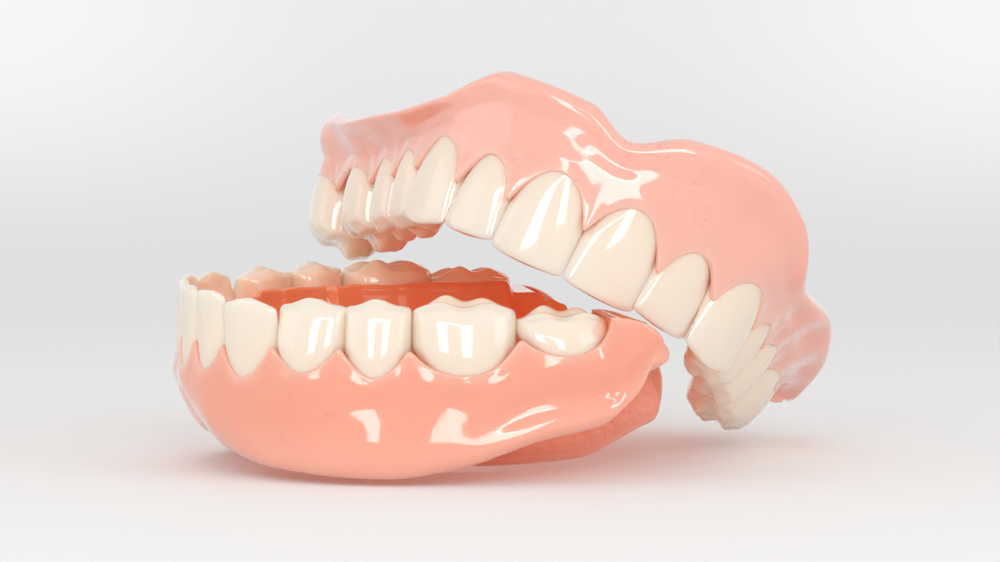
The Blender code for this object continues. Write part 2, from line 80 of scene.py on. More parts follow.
@dataclass(frozen=True)
class Tooth:
    """One moulded tooth."""
    name: str
    kind: Kind
    width: float    # along the arch, at its contact points
    crown: float    # from the tip to the gum's edge
    thick: float    # from the cheek side to the tongue side, at the neck
    neck: float     # how far the neck stands outside the arch line
    short: float    # how far the tip stops short of the occlusal plane
    outset: float   # how far the whole tooth stands outside the arch line
    papilla: float  # height of the gum between this tooth and the next one back
    overlap: float = 0.0    # how much wider it is than its place along the arch

    @classmethod
    def of(cls, name: str, kind: Kind, *lengths_mm: float) -> "Tooth":
        """Make a tooth from lengths in millimetres.

        Args:
            name: the tooth's name.
            kind: its form.
            lengths_mm: its lengths, in the order of the fields.

        Returns:
            The tooth, in metres.
        """
        return cls(name, kind, *(length * MM for length in lengths_mm))


@dataclass(frozen=True)
class Stations:
    """A length that changes along a line, given at a few places."""
    points: tuple[tuple[float, float], ...]

    @classmethod
    def of(cls, *points_mm: tuple[float, float]) -> "Stations":
        """Make stations from pairs of place and length in millimetres."""
        return cls(tuple((place * MM, length * MM) for place, length in points_mm))

    def at(self, place: float) -> float:
        """Read the length at a place, on smooth curves that never overshoot.

        Args:
            place: where to read.

        Returns:
            The length there.
        """
        points = self.points
        place = min(max(place, points[0][0]), points[-1][0])
        after = min(max(bisect_right([point[0] for point in points], place), 1), len(points) - 1)
        (x0, y0), (x1, y1) = points[after - 1], points[after]
        step, share = x1 - x0, (place - x0) / (x1 - x0)
        rise = self._slope(after - 1) * step * share * (1 - share) ** 2
        fall = self._slope(after) * step * share * share * (share - 1)
        return blend(y0, y1, ease(share)) + rise + fall

    def _slope(self, index: int) -> float:
        """Find how steep the curve is at a station.

        Args:
            index: which of the stations.

        Returns:
            The slope, which is level at the ends and wherever the length turns back.
        """
        if index in (0, len(self.points) - 1):
            return 0.0
        (xa, ya), (xb, yb), (xc, yc) = self.points[index - 1:index + 2]
        before, beyond = (yb - ya) / (xb - xa), (yc - yb) / (xc - xb)
        if before * beyond <= 0:
            return 0.0
        return 2 * before * beyond / (before + beyond)


@dataclass(frozen=True)
class Arch:
    """The plan curve through the biting edges: a superellipse with straight legs."""
    half_width: float
    length: float
    squareness: float
    leg: float = 20 * MM
    steps: int = 720


@dataclass(frozen=True)
class GumForm:
    """The thicknesses and roundings of a base; lengths in metres, the rest shares and factors."""
    border_roll: float = 1.3 * MM           # radius of the rolled borders
    lip: float = 0.24 * MM                  # how far the gum's edge stands off the teeth
    bulge: float = 0.06 * MM                # how much further it stands off just below its edge
    bulge_swell: float = 0.5                # share of a root's swelling that reaches the bulge
    edge_drop: float = 1.4 * MM             # how far below its edge the gum is at its fullest
    papilla_recess: float = 0.4 * MM        # how far a papilla stands inside the necks
    tongue_recess: float = 0.4 * MM / 3     # how far it stands above the tongue side's necks
    back_recess: float = 0.6 * MM           # how much further inside it stands at the back
    papilla_blend: float = 0.9 * MM         # rounding where the gum runs up to one
    follow: float = 0.30                    # share in which the gum follows each tooth's neck
    molar_flat: float = 1.5                 # how much flatter the gum's edge is at a molar
    saddle_depth: float = 1.6 * MM          # how far the gum's edge turns down behind the teeth
    tuck: float = 0.55 * MM                 # how far it turns in there
    polish_dip: float = 0.45 * MM           # hollow of the polished side
    middle_share: float = 0.42              # where the hollow is deepest, from the border
    under_share: float = 0.8                # where the hollow ends
    under_dip: float = 0.3                  # share of the hollow that is left there
    belly: float = 0.7 * MM                 # swelling of the lower cheek flanges
    belly_at: float = 32.0 * MM             # its middle, along the arch
    belly_spread: float = 8.0 * MM          # half its length
    groove: float = 0.35 * MM               # hollow of the flange behind it
    groove_run: float = 14.0 * MM           # length over which that deepens
    chin_belly: float = 1.1 * MM            # swelling under the lower front teeth
    chin_belly_at: float = 8.0 * MM         # its middle, on each side
    chin_belly_spread: float = 8.0 * MM     # half its length
    cheek_belly: float = 1.1 * MM           # swelling of the upper right cheek flange
    cheek_belly_at: float = 52.0 * MM       # its middle, along the arch
    crest_step: float = 0.9 * MM            # how far the fitting side falls off beside its crest
    eminence: float = 0.12 * MM             # swelling over a root
    ripple_start: float = 26.0 * MM         # where the back of the upper gum begins
    ripple_run: float = 8.0 * MM            # length over which it begins
    ripple_gain: float = 2.0                # how much more its roots swell there
    end_round: float = 2.0 * MM             # how far the ends of the base bulge
    heel_round_end: float = 6.1 * MM        # how deep the upper rounding of a heel reaches
    heel_reach: float = 6.5 * MM            # length over which a heel rounds off
    heel_low: float = 2.8 * MM              # rounding of a heel's lower corner
    pad_facial_out: float = 2.2 * MM        # cheek side of the pad behind the last tooth
    pad_rise: float = 2.4 * MM              # length over which the gum turns into it
    pad_early: float = 1.5 * MM             # how far before the last tooth's end that begins
    pad_lead: float = 1.8 * MM              # how much sooner the flange below begins
    flange_start: float = 40.0 * MM         # where the tongue side's flange sweeps back
    flange_sweep: float = 2.2 * MM          # how far it does by its end
    palate_front: float = 13.0 * MM         # where the palate's midline starts
    palate_back: float = 45.0 * MM          # where it ends
    palate_run: float = 1.25                # how the palate's sections crowd to its front
    palate_thick: float = 2.2 * MM
    palate_slope_out: float = 3.6 * MM      # how far inside the necks its slope lies
    palate_arch: float = 0.85               # how soon the palate rises from its slope
    rim_spread: float = 1.8                 # reach of the rims of painted light, in points of a section
    border_fade: float = 2.2                # the same on the lower border


@dataclass(frozen=True)
class DentureForm:
    """Everything that sets one denture's shape and stand."""
    jaw: Jaw
    arch: Arch
    teeth: dict[Side, tuple[Tooth, ...]]                # from the midline back
    border: dict[Side, Stations]                        # depth of the lip and cheek border
    border_out: dict[Side, Stations]                    # how far out it stands
    crest: Stations                                     # depth of the fitting side over the ridge
    channel_half: float                                 # half the width of the ridge channel
    pad_deep: dict[Side, float]                         # depth of the pad behind the last tooth
    pad_tongue_out: float                               # how far inside the arch its tongue side lies
    pad_length: float                                   # its length
    neck_share: float                                   # height of the tongue side's gum on a crown
    scallop_round: float                                # how flat the gum's edge is at a tooth's middle
    scallop_steep: float                                # how sharply it rises to a papilla
    eminence_gain: float                                # how much its roots swell
    under_out: float                                    # how full the flange is below the gum's edge
    fitting: tuple[float, float]                        # the section's points on the fitting side
    inside: tuple[float, float]                         # those on the tongue side
    rim: float                                          # the one at the gum's edge
    at: tuple[float, float, float]                      # where it stands in the set
    turn_deg: tuple[float, float, float]                # and how it is turned
    tongue_border: dict[Side, Stations] | None = None   # depth of the lower tongue side's border
    tongue_out: Stations | None = None                  # how far out that stands
    palate: Stations | None = None                      # height of the upper palate's midline


@dataclass(frozen=True)
class Scatter:
    """How light spreads under a surface."""
    weight: float
    scale: float
    radius: Colour


@dataclass(frozen=True)
class Finish:
    """One material's look."""
    name: str
    slot: str
    colour: Colour
    deep_colour: Colour
    roughness: float
    scatter: Scatter
    coat: float
    painted_glow_colour: Colour        # painted glow on the tongue side, in place of light bounced and let through the acrylic
    painted_glow_share: float
    shine_through: Colour       # the tint of light that passes into the shadow
    # painted light on the paler rims at the gum's edge and along the lower border
    painted_rim_light_colour: Colour = (0.96, 0.60, 0.48)


GUM = GumForm()

UPPER_RIGHT = (
    Tooth.of("central_incisor", Kind.INCISOR, 8.6, 10.2, 6.4, 2.2, -0.2, 0.0, 5.0),
    Tooth.of("lateral_incisor", Kind.INCISOR, 6.7, 8.9, 5.6, 1.7, 0.4, 0.0, 4.8),
    Tooth.of("canine", Kind.CANINE, 7.8, 9.9, 6.8, 2.0, 0.0, 0.0, 3.4),
    Tooth.of("first_premolar", Kind.PREMOLAR, 7.1, 8.3, 8.4, 1.9, 0.0, -0.7, 2.7),
    Tooth.of("second_premolar", Kind.PREMOLAR, 6.9, 7.8, 8.4, 1.9, -0.2, -0.9, 2.4),
    Tooth.of("first_molar", Kind.MOLAR, 10.0, 7.1, 10.4, 2.2, -0.5, 0.2, 2.0),
    Tooth.of("second_molar", Kind.MOLAR, 9.4, 7.1, 10.8, 3.3, -1.3, 1.8, 1.8),
)
UPPER_LEFT = UPPER_RIGHT[:1] + (
    Tooth.of("lateral_incisor", Kind.INCISOR, 6.7, 8.9, 5.6, 1.7, 0.4, 0.5, 4.2, 0.7),
    Tooth.of("canine", Kind.CANINE, 7.8, 10.2, 6.8, 2.0, -0.3, 1.6, 3.2, 0.5),
    Tooth.of("first_premolar", Kind.PREMOLAR, 7.1, 8.8, 8.4, 1.6, -0.5, 0.6, 2.0),
    Tooth.of("second_premolar", Kind.PREMOLAR, 6.9, 8.6, 8.4, 1.4, -0.8, 0.2, 1.8),
    Tooth.of("first_molar", Kind.MOLAR, 10.0, 8.0, 9.8, 1.5, -1.2, 0.0, 1.6),
    Tooth.of("second_molar", Kind.MOLAR, 9.4, 6.6, 9.2, 1.2, 0.2, -0.2, 1.4),
)
LOWER_BOTH = (
    Tooth.of("central_incisor", Kind.INCISOR, 5.4, 8.6, 5.2, 1.0, 0.0, 0.0, 3.0),
    Tooth.of("lateral_incisor", Kind.INCISOR, 5.6, 8.4, 5.4, 0.9, 0.0, 0.0, 3.0),
    Tooth.of("canine", Kind.CANINE, 6.8, 8.3, 6.4, 1.2, 0.3, 0.0, 3.0, 0.4),
    Tooth.of("first_premolar", Kind.PREMOLAR, 7.5, 7.6, 7.0, 1.8, 0.0, 0.0, 2.9, 0.5),
    Tooth.of("second_premolar", Kind.PREMOLAR, 7.3, 8.0, 7.6, 1.8, 0.0, 0.0, 2.8),
    Tooth.of("first_molar", Kind.MOLAR, 11.5, 7.5, 9.4, 1.8, 0.2, 0.0, 2.8),
    Tooth.of("second_molar", Kind.MOLAR, 10.2, 4.4, 8.8, 1.6, 1.4, 0.0, 3.0),
)

UPPER_FORM = DentureForm(
    jaw=Jaw.UPPER,
    arch=Arch(27.4 * MM, 50.5 * MM, 2.32),
    teeth={Side.LEFT: UPPER_LEFT, Side.RIGHT: UPPER_RIGHT},
    border={
        Side.LEFT: Stations.of((0, 16.5), (5.5, 19.6), (13, 20.8), (19, 19.0), (24, 14.9), (30, 14.3),
                               (37, 14.9), (45, 13.2), (52, 11.4), (57, 9.8), (60, 8.0)),
        Side.RIGHT: Stations.of((0, 16.5), (5, 18.6), (13.5, 18.6), (20, 14.4), (28, 12.0), (38, 11.4),
                                (47, 13.1), (53, 14.1), (57, 13.4), (60, 10.8)),
    },
    border_out={
        Side.LEFT: Stations.of((0, 1.8), (12, 4.2), (21, 4.9), (28, 3.0), (36, 3.8), (44, 4.0),
                               (56, 2.6), (60, 1.4)),
        Side.RIGHT: Stations.of((0, 1.8), (12, 3.0), (24, 3.4), (40, 4.8), (52, 6.0), (56, 5.7),
                                (60, 4.0)),
    },
    crest=Stations.of((0, 13.8), (20, 13.4), (30, 11.8), (42, 10.4), (60, 9.4)),
    channel_half=3.4 * MM,
    pad_deep={Side.LEFT: 6.9 * MM, Side.RIGHT: 5.2 * MM},
    pad_tongue_out=8.2 * MM,
    pad_length=0.8 * MM,
    neck_share=0.66,
    scallop_round=2.2,
    scallop_steep=0.85,
    eminence_gain=1.3,
    under_out=0.8,
    fitting=(18, 35),
    inside=(-1, 8),
    rim=11,
    at=(20.6 * MM, 37.06 * MM, 20.15 * MM),
    turn_deg=(-15.7, 25.9, 72.2),
    palate=Stations.of((10, 13.6), (16, 14.8), (26, 17.0), (38, 17.4), (48, 16.6)),
)
LOWER_FORM = DentureForm(
    jaw=Jaw.LOWER,
    arch=Arch(24.6 * MM, 44.1 * MM, 2.34),
    teeth={Side.LEFT: LOWER_BOTH, Side.RIGHT: LOWER_BOTH},
    border={
        Side.LEFT: Stations.of((0, 15.6), (5, 16.6), (17.5, 18.4), (30, 18.8), (38, 17.6), (46, 15.0),
                               (54, 13.2), (57, 11.2), (59, 7.6)),
        Side.RIGHT: Stations.of((0, 15.6), (5, 17.0), (17.5, 19.6), (30, 21.2), (38, 20.2), (46, 17.4),
                                (54, 14.0), (58, 10.4)),
    },
    border_out={
        Side.LEFT: Stations.of((0, -2.4), (10, -1.6), (20, 0.6), (26, 1.8), (32, 2.1), (38, 1.8),
                               (44, 1.5), (52, 1.2), (60, 0.8)),
        Side.RIGHT: Stations.of((0, -2.4), (10, -1.6), (24, 1.2), (36, 2.4), (48, 2.8), (60, 1.6)),
    },
    crest=Stations.of((0, 13.0), (20, 13.0), (38, 12.0), (48, 9.6), (60, 6.4)),
    channel_half=2.4 * MM,
    pad_deep={Side.LEFT: 1.7 * MM, Side.RIGHT: 4.2 * MM},
    pad_tongue_out=5.6 * MM,
    pad_length=4.2 * MM,
    neck_share=0.34,
    scallop_round=1.9,
    scallop_steep=1.0,
    eminence_gain=0.8,
    under_out=0.97,
    fitting=(17, 35),
    inside=(8, 16),
    rim=6,
    at=(1.0 * MM, -0.3 * MM, 19.1 * MM),
    turn_deg=(0.8, 3.1, 0.0),
    tongue_border={
        Side.LEFT: Stations.of((0, 15.2), (15, 16.6), (32, 19.2), (42, 19.5), (51, 19.0), (60, 14.6)),
        Side.RIGHT: Stations.of((0, 15.2), (15, 17.4), (32, 20.6), (42, 21.4), (50, 21.0), (60, 18.0)),
    },
    tongue_out=Stations.of((0, -10.4), (20, -10.2), (36, -10.4), (50, -10.6), (60, -8.2)),
)

# Where the set stands in the row frame: its box is centred over the origin and stands on the floor.
SET_AT = Vector((2.949, -37.097, 1.113)) * MM

PINK_SCATTER = Scatter(0.35, 1.8 * MM, (1.0, 0.36, 0.18))
IVORY_SCATTER = Scatter(0.6, 2.4 * MM, (1.0, 0.75, 0.5))
# The two bases are one acrylic: the upper's paler colours and the lower's deeper ones are painted light
# and shade. Each finish's tongue-side colour is a painted glow.
UPPER_ACRYLIC_PAINTED_PALER = Finish("upper_pink_acrylic", "pink_acrylic", (0.95, 0.49, 0.40), (0.93, 0.37, 0.27),
                       0.11, PINK_SCATTER, 1.0, (0.96, 0.26, 0.09), 0.75, (0.80, 0.46, 0.30))
LOWER_ACRYLIC_PAINTED_DEEPER = Finish("lower_pink_acrylic", "pink_acrylic", (0.94, 0.39, 0.27), (0.92, 0.27, 0.16),
                       0.11, PINK_SCATTER, 1.0, (0.96, 0.26, 0.09), 0.75, (0.80, 0.46, 0.30))
IVORY_TOOTH = Finish("ivory_tooth", "ivory_tooth", (0.88, 0.78, 0.66), (0.90, 0.73, 0.56),
                     0.09, IVORY_SCATTER, 0.8, (0.96, 0.58, 0.37), 0.6, (0.70, 0.55, 0.42))


def blend(start: float, end: float, share: float) -> float:
    """Return the value a share of the way from start to end."""
    return start + (end - start) * share


def ease(share: float) -> float:
    """Return a share from 0 to 1 that leaves and arrives gently."""
    share = min(max(share, 0.0), 1.0)
    return share * share * (3 - 2 * share)


def hill(place: float, middle: float, spread: float) -> float:
    """Return the height of a round hill of height 1 at a place."""
    return math.exp(-((place - middle) / spread) ** 2)


def quarter_round(share: float) -> float:
    """Return how far a quarter circle has turned in, from 0 to 1, at a share of its height."""
    return 1 - math.sqrt(1 - share * share)


def smooth_max(first: float, second: float, width: float) -> float:
    """Return the larger of two lengths, rounded where they cross."""
    reach = max(width - abs(first - second), 0.0) / width
    return max(first, second) + reach * reach * width / 4


class ArchCurve:
    """An arch with its length measured along it."""

    OUTWARD_REACH = 0.9 * MM

    def __init__(self, arch: Arch) -> None:
        """Lay out the curve's points and measure it.

        Args:
            arch: the arch.
        """
        half = []
        for step in range(arch.steps + 1):
            angle = math.pi / 2 * step / arch.steps
            x = arch.half_width * math.sin(angle) ** (2 / arch.squareness)
            y = arch.length * (1 - math.cos(angle) ** (2 / arch.squareness))
            half.append(Vector((x, y)))
        half.append(Vector((arch.half_width, arch.length + arch.leg)))
        self.points = [Vector((-point.x, point.y)) for point in reversed(half[1:])] + half
        places = [0.0]
        for start, end in zip(self.points, self.points[1:]):
            places.append(places[-1] + (end - start).length)
        middle = places[-1] / 2
        self.places = [place - middle for place in places]

    def on_line(self, along: float) -> Vector:
        """Find a point of the curve.

        Args:
            along: length along the arch from its middle.

        Returns:
            The plan point there.
        """
        after = min(max(bisect_right(self.places, along), 1), len(self.places) - 1)
        start, end = self.places[after - 1], self.places[after]
        return self.points[after - 1].lerp(self.points[after], (along - start) / (end - start))

    def outward(self, along: float) -> Vector:
        """Return the plan direction towards the lips and cheeks, smoothed over a short reach."""
        run = self.on_line(along + self.OUTWARD_REACH) - self.on_line(along - self.OUTWARD_REACH)
        return Vector((run.y, -run.x)).normalized()


@dataclass(frozen=True)
class CrownForm:
    """How a kind of tooth is rounded, with lengths in metres and the rest as shares."""
    tip_narrow: float       # how much narrower it is at the tip than at its contacts
    neck_narrow: float      # how much narrower it is at the neck
    tip_inside: float       # how far the cheek side's tip stands inside its neck
    tongue_inside: float    # how far the tongue side's tip stands inside its neck
    edge_across: float      # the biting surface's width before its rounding
    edge_through: float     # the same, from the cheek to the tongue
    rounding: float         # how far down the rounding reaches
    taper: float            # how much narrower the tongue side is than the cheek side


CROWN_FORMS = {
    Kind.INCISOR: CrownForm(0.02, 0.28, 0.0, 0.0, 0.96, 0.72, 0.12, 0.6),
    Kind.CANINE: CrownForm(0.04, 0.30, 0.0, 0.0, 0.95, 0.72, 0.14, 0.5),
    Kind.PREMOLAR: CrownForm(0.0, 0.34, 2.3 * MM, 1.4 * MM, 0.95, 0.84, 0.17, 0.24),
    Kind.MOLAR: CrownForm(0.0, 0.28, 2.2 * MM, 1.2 * MM, 0.93, 0.80, 0.24, 0.10),
}


@dataclass(frozen=True)
class Cusp:
    """A cusp of a biting surface: its place as shares of the tooth, its height and its spread."""
    back: float
    out: float
    height: float
    along: float
    across: float

    def rise(self, back: float, out: float) -> float:
        """Return how high the cusp stands at a place of the biting surface."""
        return self.height * math.exp(-((back - self.back) / self.along) ** 2
                                      - ((out - self.out) / self.across) ** 2)


CUSPS = {
    Kind.MOLAR: (Cusp(-0.55, 0.66, 1.10 * MM, 0.50, 0.46), Cusp(0.52, 0.66, 1.00 * MM, 0.46, 0.46),
                 Cusp(-0.40, -0.55, 1.55 * MM, 0.40, 0.46), Cusp(0.46, -0.55, 1.20 * MM, 0.38, 0.46)),
    Kind.PREMOLAR: (Cusp(-0.05, 0.58, 1.25 * MM, 0.62, 0.50), Cusp(-0.05, -0.62, 0.95 * MM, 0.60, 0.46),
                    Cusp(0.75, 0.0, 0.35 * MM, 0.35, 0.60), Cusp(-0.85, 0.0, 0.30 * MM, 0.30, 0.60)),
}


@dataclass(frozen=True)
class Section:
    """A tooth's section at one depth."""
    half: float
    facial: float
    inner: float

    @property
    def centre(self) -> float:
        """How far the section's middle stands out from the tooth's line."""
        return (self.facial - self.inner) / 2

    @property
    def reach(self) -> float:
        """Half the section's thickness."""
        return (self.facial + self.inner) / 2


class ToothForm:
    """The shape of one tooth, read at any depth and place of its outline."""

    EDGE_THICK = 1.1 * MM   # a front tooth's biting edge
    GAP = -0.2 * MM             # neighbours run into each other at their contacts
    ROOT = 1.6 * MM         # how far a tooth reaches into its base
    CONTACT_END = 0.5           # share of the crown above which it never narrows to its neck
    CUTS = 20               # how finely its cube is divided
    CORNER = 0.42               # how far a section's corners are rounded off
    DEEPEST = 1.3               # the root's end, as a share of the crown
    TIP_RUN = 0.3               # share of the crown in which the tip narrows
    INCISOR_BOW, INCISOR_CORNER, INCISOR_CORNER_POWER = 0.10, 0.22, 5  # drop of the edge, in mm
    BACK_CORNER, FRONT_CORNER = 1.9, 0.9  # how round its two corners are
    CANINE_BACK, CANINE_FRONT, CANINE_POWER = 1.15, 0.9, 1.25  # slopes beside its point
    CANINE_BLUNT, CANINE_TIP = 0.06, 0.2  # how blunt the point is
    GROUND_DROP, CUSP_LIMIT = 1.3 * MM, -0.4 * MM  # the ground between cusps, their limit
    NECK_POWER, FACIAL_POWER = 1.6, 1.7  # how late a crown narrows, how soon it leans
    FRONT_TONGUE_POWER, BACK_TONGUE_POWER = 1.35, 0.7  # how its tongue side leans
    DEPTH_POWER = 1.25      # how its rings crowd to the tip
    TAPER_START, TAPER_RUN, TAPER_POWER = 0.3, 1.3, 1.8  # where it tapers to the tongue
    TONGUE_START = 0.35     # where the painted warm glow of its tongue side begins

    def __init__(self, spec: Tooth) -> None:
        """Hold the tooth's sizes."""
        self.spec = spec
        self.front = spec.kind in (Kind.INCISOR, Kind.CANINE)

    def biting_drop(self, back: float, out: float) -> float:
        """Return how far the biting surface lies below the tip.

        Args:
            back: place along the arch, from -1 at the front contact to 1 at the back one.
            out: place across the tooth, from -1 on the tongue side to 1 on the cheek side.

        Returns:
            The drop in metres.
        """
        kind = self.spec.kind
        if kind is Kind.INCISOR:
            corner = self.BACK_CORNER if back > 0 else self.FRONT_CORNER
            return (self.INCISOR_BOW * back ** 2
                    + self.INCISOR_CORNER * abs(back) ** self.INCISOR_CORNER_POWER * corner) * MM
        if kind is Kind.CANINE:
            slope = self.CANINE_BACK if back > 0 else self.CANINE_FRONT
            point = math.sqrt(back * back + self.CANINE_BLUNT) - self.CANINE_TIP
            return slope * point ** self.CANINE_POWER * MM
        raised = sum(cusp.rise(back, out) for cusp in CUSPS[kind])
        return max(self.GROUND_DROP - raised, self.CUSP_LIMIT)

    def section(self, deep: float) -> Section:
        """Find the tooth's section at a depth.

        Args:
            deep: depth below its tip.

        Returns:
            The section.
        """
        spec, form = self.spec, CROWN_FORMS[self.spec.kind]
        share = min(max(deep / spec.crown, 0.0), self.DEEPEST)
        neck = min(share, 1.0)
        contact_end = max(1 - spec.papilla / spec.crown, self.CONTACT_END)
        below = max((neck - contact_end) / (1 - contact_end), 0.0)
        narrow = (form.tip_narrow * max(1 - share / self.TIP_RUN, 0) ** 2
                  + form.neck_narrow * below ** self.NECK_POWER)
        half = (spec.width + spec.overlap - self.GAP) / 2 * (1 - narrow)
        tongue = spec.thick - spec.neck
        if self.front:
            facial_tip = inner_tip = self.EDGE_THICK / 2
            tongue_power = self.FRONT_TONGUE_POWER
        else:
            facial_tip, inner_tip = spec.neck - form.tip_inside, tongue - form.tongue_inside
            tongue_power = self.BACK_TONGUE_POWER
        return Section(half, blend(facial_tip, spec.neck, 1 - (1 - neck) ** self.FACIAL_POWER),
                       blend(inner_tip, tongue, neck ** tongue_power))

    def surface_out(self, across: float, deep: float, facial: bool) -> float:
        """Return how far out the tooth's surface stands from the arch line.

        Args:
            across: distance along the arch from the tooth's middle.
            deep: depth below the occlusal plane.
            facial: True for the lip and cheek side, False for the tongue side.

        Returns:
            The distance out; the section's middle where the tooth has ended.
        """
        section = self.section(deep - self.spec.short)
        share = min(abs(across) / section.half, 1.0)
        bow = self.bow(share) * section.reach
        return self.spec.outset + section.centre + (bow if facial else -bow)

    def bow(self, share: float) -> float:
        """Find how far a section's side stands out.

        Args:
            share: place along the side, as a share of the section's half width.

        Returns:
            The distance, as a share of the section's reach.
        """
        corner = math.sqrt(1 - self.CORNER)
        if share <= corner:
            return math.sqrt(1 - self.CORNER * (share / corner) ** 2)
        return corner * math.sqrt(max(1 - share * share, 0.0) / self.CORNER)

    def mesh(self, denture: "DentureShape", middle: float, side: Side) -> bpy.types.Mesh:
        """Build the tooth from a finely divided cube, bent along the arch.

        Args:
            denture: the denture that carries the tooth.
            middle: the tooth's place along the arch, from the midline.
            side: the side of the wearer.

        Returns:
            The mesh, in the row frame.
        """
        spec, form = self.spec, CROWN_FORMS[self.spec.kind]
        bm = bmesh.new()
        bmesh.ops.create_cube(bm, size=2.0)
        bmesh.ops.subdivide_edges(bm, edges=bm.edges, cuts=self.CUTS, use_grid_fill=True)
        height = bm.verts.layers.float.new("crown_height")
        tongue = bm.verts.layers.float.new("tongue_side")
        for vert in bm.verts:
            back, out, top = vert.co
            down = (1 - top) / 2
            deep = blend(self.biting_drop(back, out), spec.crown + self.ROOT, down ** self.DEPTH_POWER)
            section = self.section(deep)
            curl = math.sqrt(max(1 - (1 - min(down / form.rounding, 1.0)) ** 2, 0.0))
            across = back * math.sqrt(1 - self.CORNER * out * out) * blend(form.edge_across, 1, curl)
            through = out * math.sqrt(1 - self.CORNER * back * back) * blend(form.edge_through, 1, curl)
            behind = max(self.TAPER_START - through, 0) / self.TAPER_RUN
            x = across * section.half * (1 - form.taper * behind ** self.TAPER_POWER)
            y = section.centre + through * section.reach
            vert[height] = min(max(deep / spec.crown, 0.0), 1.0)
            # the tongue side, where the material paints a warm glow
            vert[tongue] = ease(self.TONGUE_START - out)
            vert.co = denture.world(side.value * (middle + x), spec.outset + y, deep + spec.short)
        face_outwards(bm)
        return to_mesh(f"{denture.form.jaw.value}_{side.name.lower()}_{spec.name}_crown", bm)


def face_outwards(bm: bmesh.types.BMesh) -> None:
    """Turn every face of a closed bmesh to point outwards.

    Args:
        bm: the bmesh, which is changed.
    """
    bm.normal_update()
    bmesh.ops.recalc_face_normals(bm, faces=bm.faces)
    bm.normal_update()


def to_mesh(name: str, bm: bmesh.types.BMesh) -> bpy.types.Mesh:
    """Finish a bmesh, which is freed.

    Args:
        name: the mesh's name.
        bm: the bmesh.

    Returns:
        The smooth-shaded mesh.
    """
    mesh = bpy.data.meshes.new(name)
    bm.to_mesh(mesh)
    bm.free()
    mesh.shade_smooth()
    return mesh


def spline(points: list[Vector], closed: bool, steps: int) -> list[Vector]:
    """Lay a centripetal curve through points.

    Args:
        points: the points it passes.
        closed: True if it returns to the first one.
        steps: how many points it gives for each stretch between two of them.

    Returns:
        The points of the curve.
    """
    least = 1e-9
    count = len(points)
    found = []
    for index in range(count if closed else count - 1):
        start, end = points[index], points[(index + 1) % count]
        before = points[index - 1] if closed or index else start * 2 - end
        beyond = (points[(index + 2) % count] if closed or index + 2 < count
                  else end * 2 - start)
        t0 = 0.0
        t1 = t0 + math.sqrt((start - before).length) + least
        t2 = t1 + math.sqrt((end - start).length) + least
        t3 = t2 + math.sqrt((beyond - end).length) + least
        for step in range(steps):
            t = t1 + (t2 - t1) * step / steps
            a1 = before.lerp(start, (t - t0) / (t1 - t0))
            a2 = start.lerp(end, (t - t1) / (t2 - t1))
            a3 = end.lerp(beyond, (t - t2) / (t3 - t2))
            b1 = a1.lerp(a2, (t - t0) / (t2 - t0))
            b2 = a2.lerp(a3, (t - t1) / (t3 - t1))
            found.append(b1.lerp(b2, (t - t1) / (t2 - t1)))
    if not closed:
        found.append(points[-1].copy())
    return found


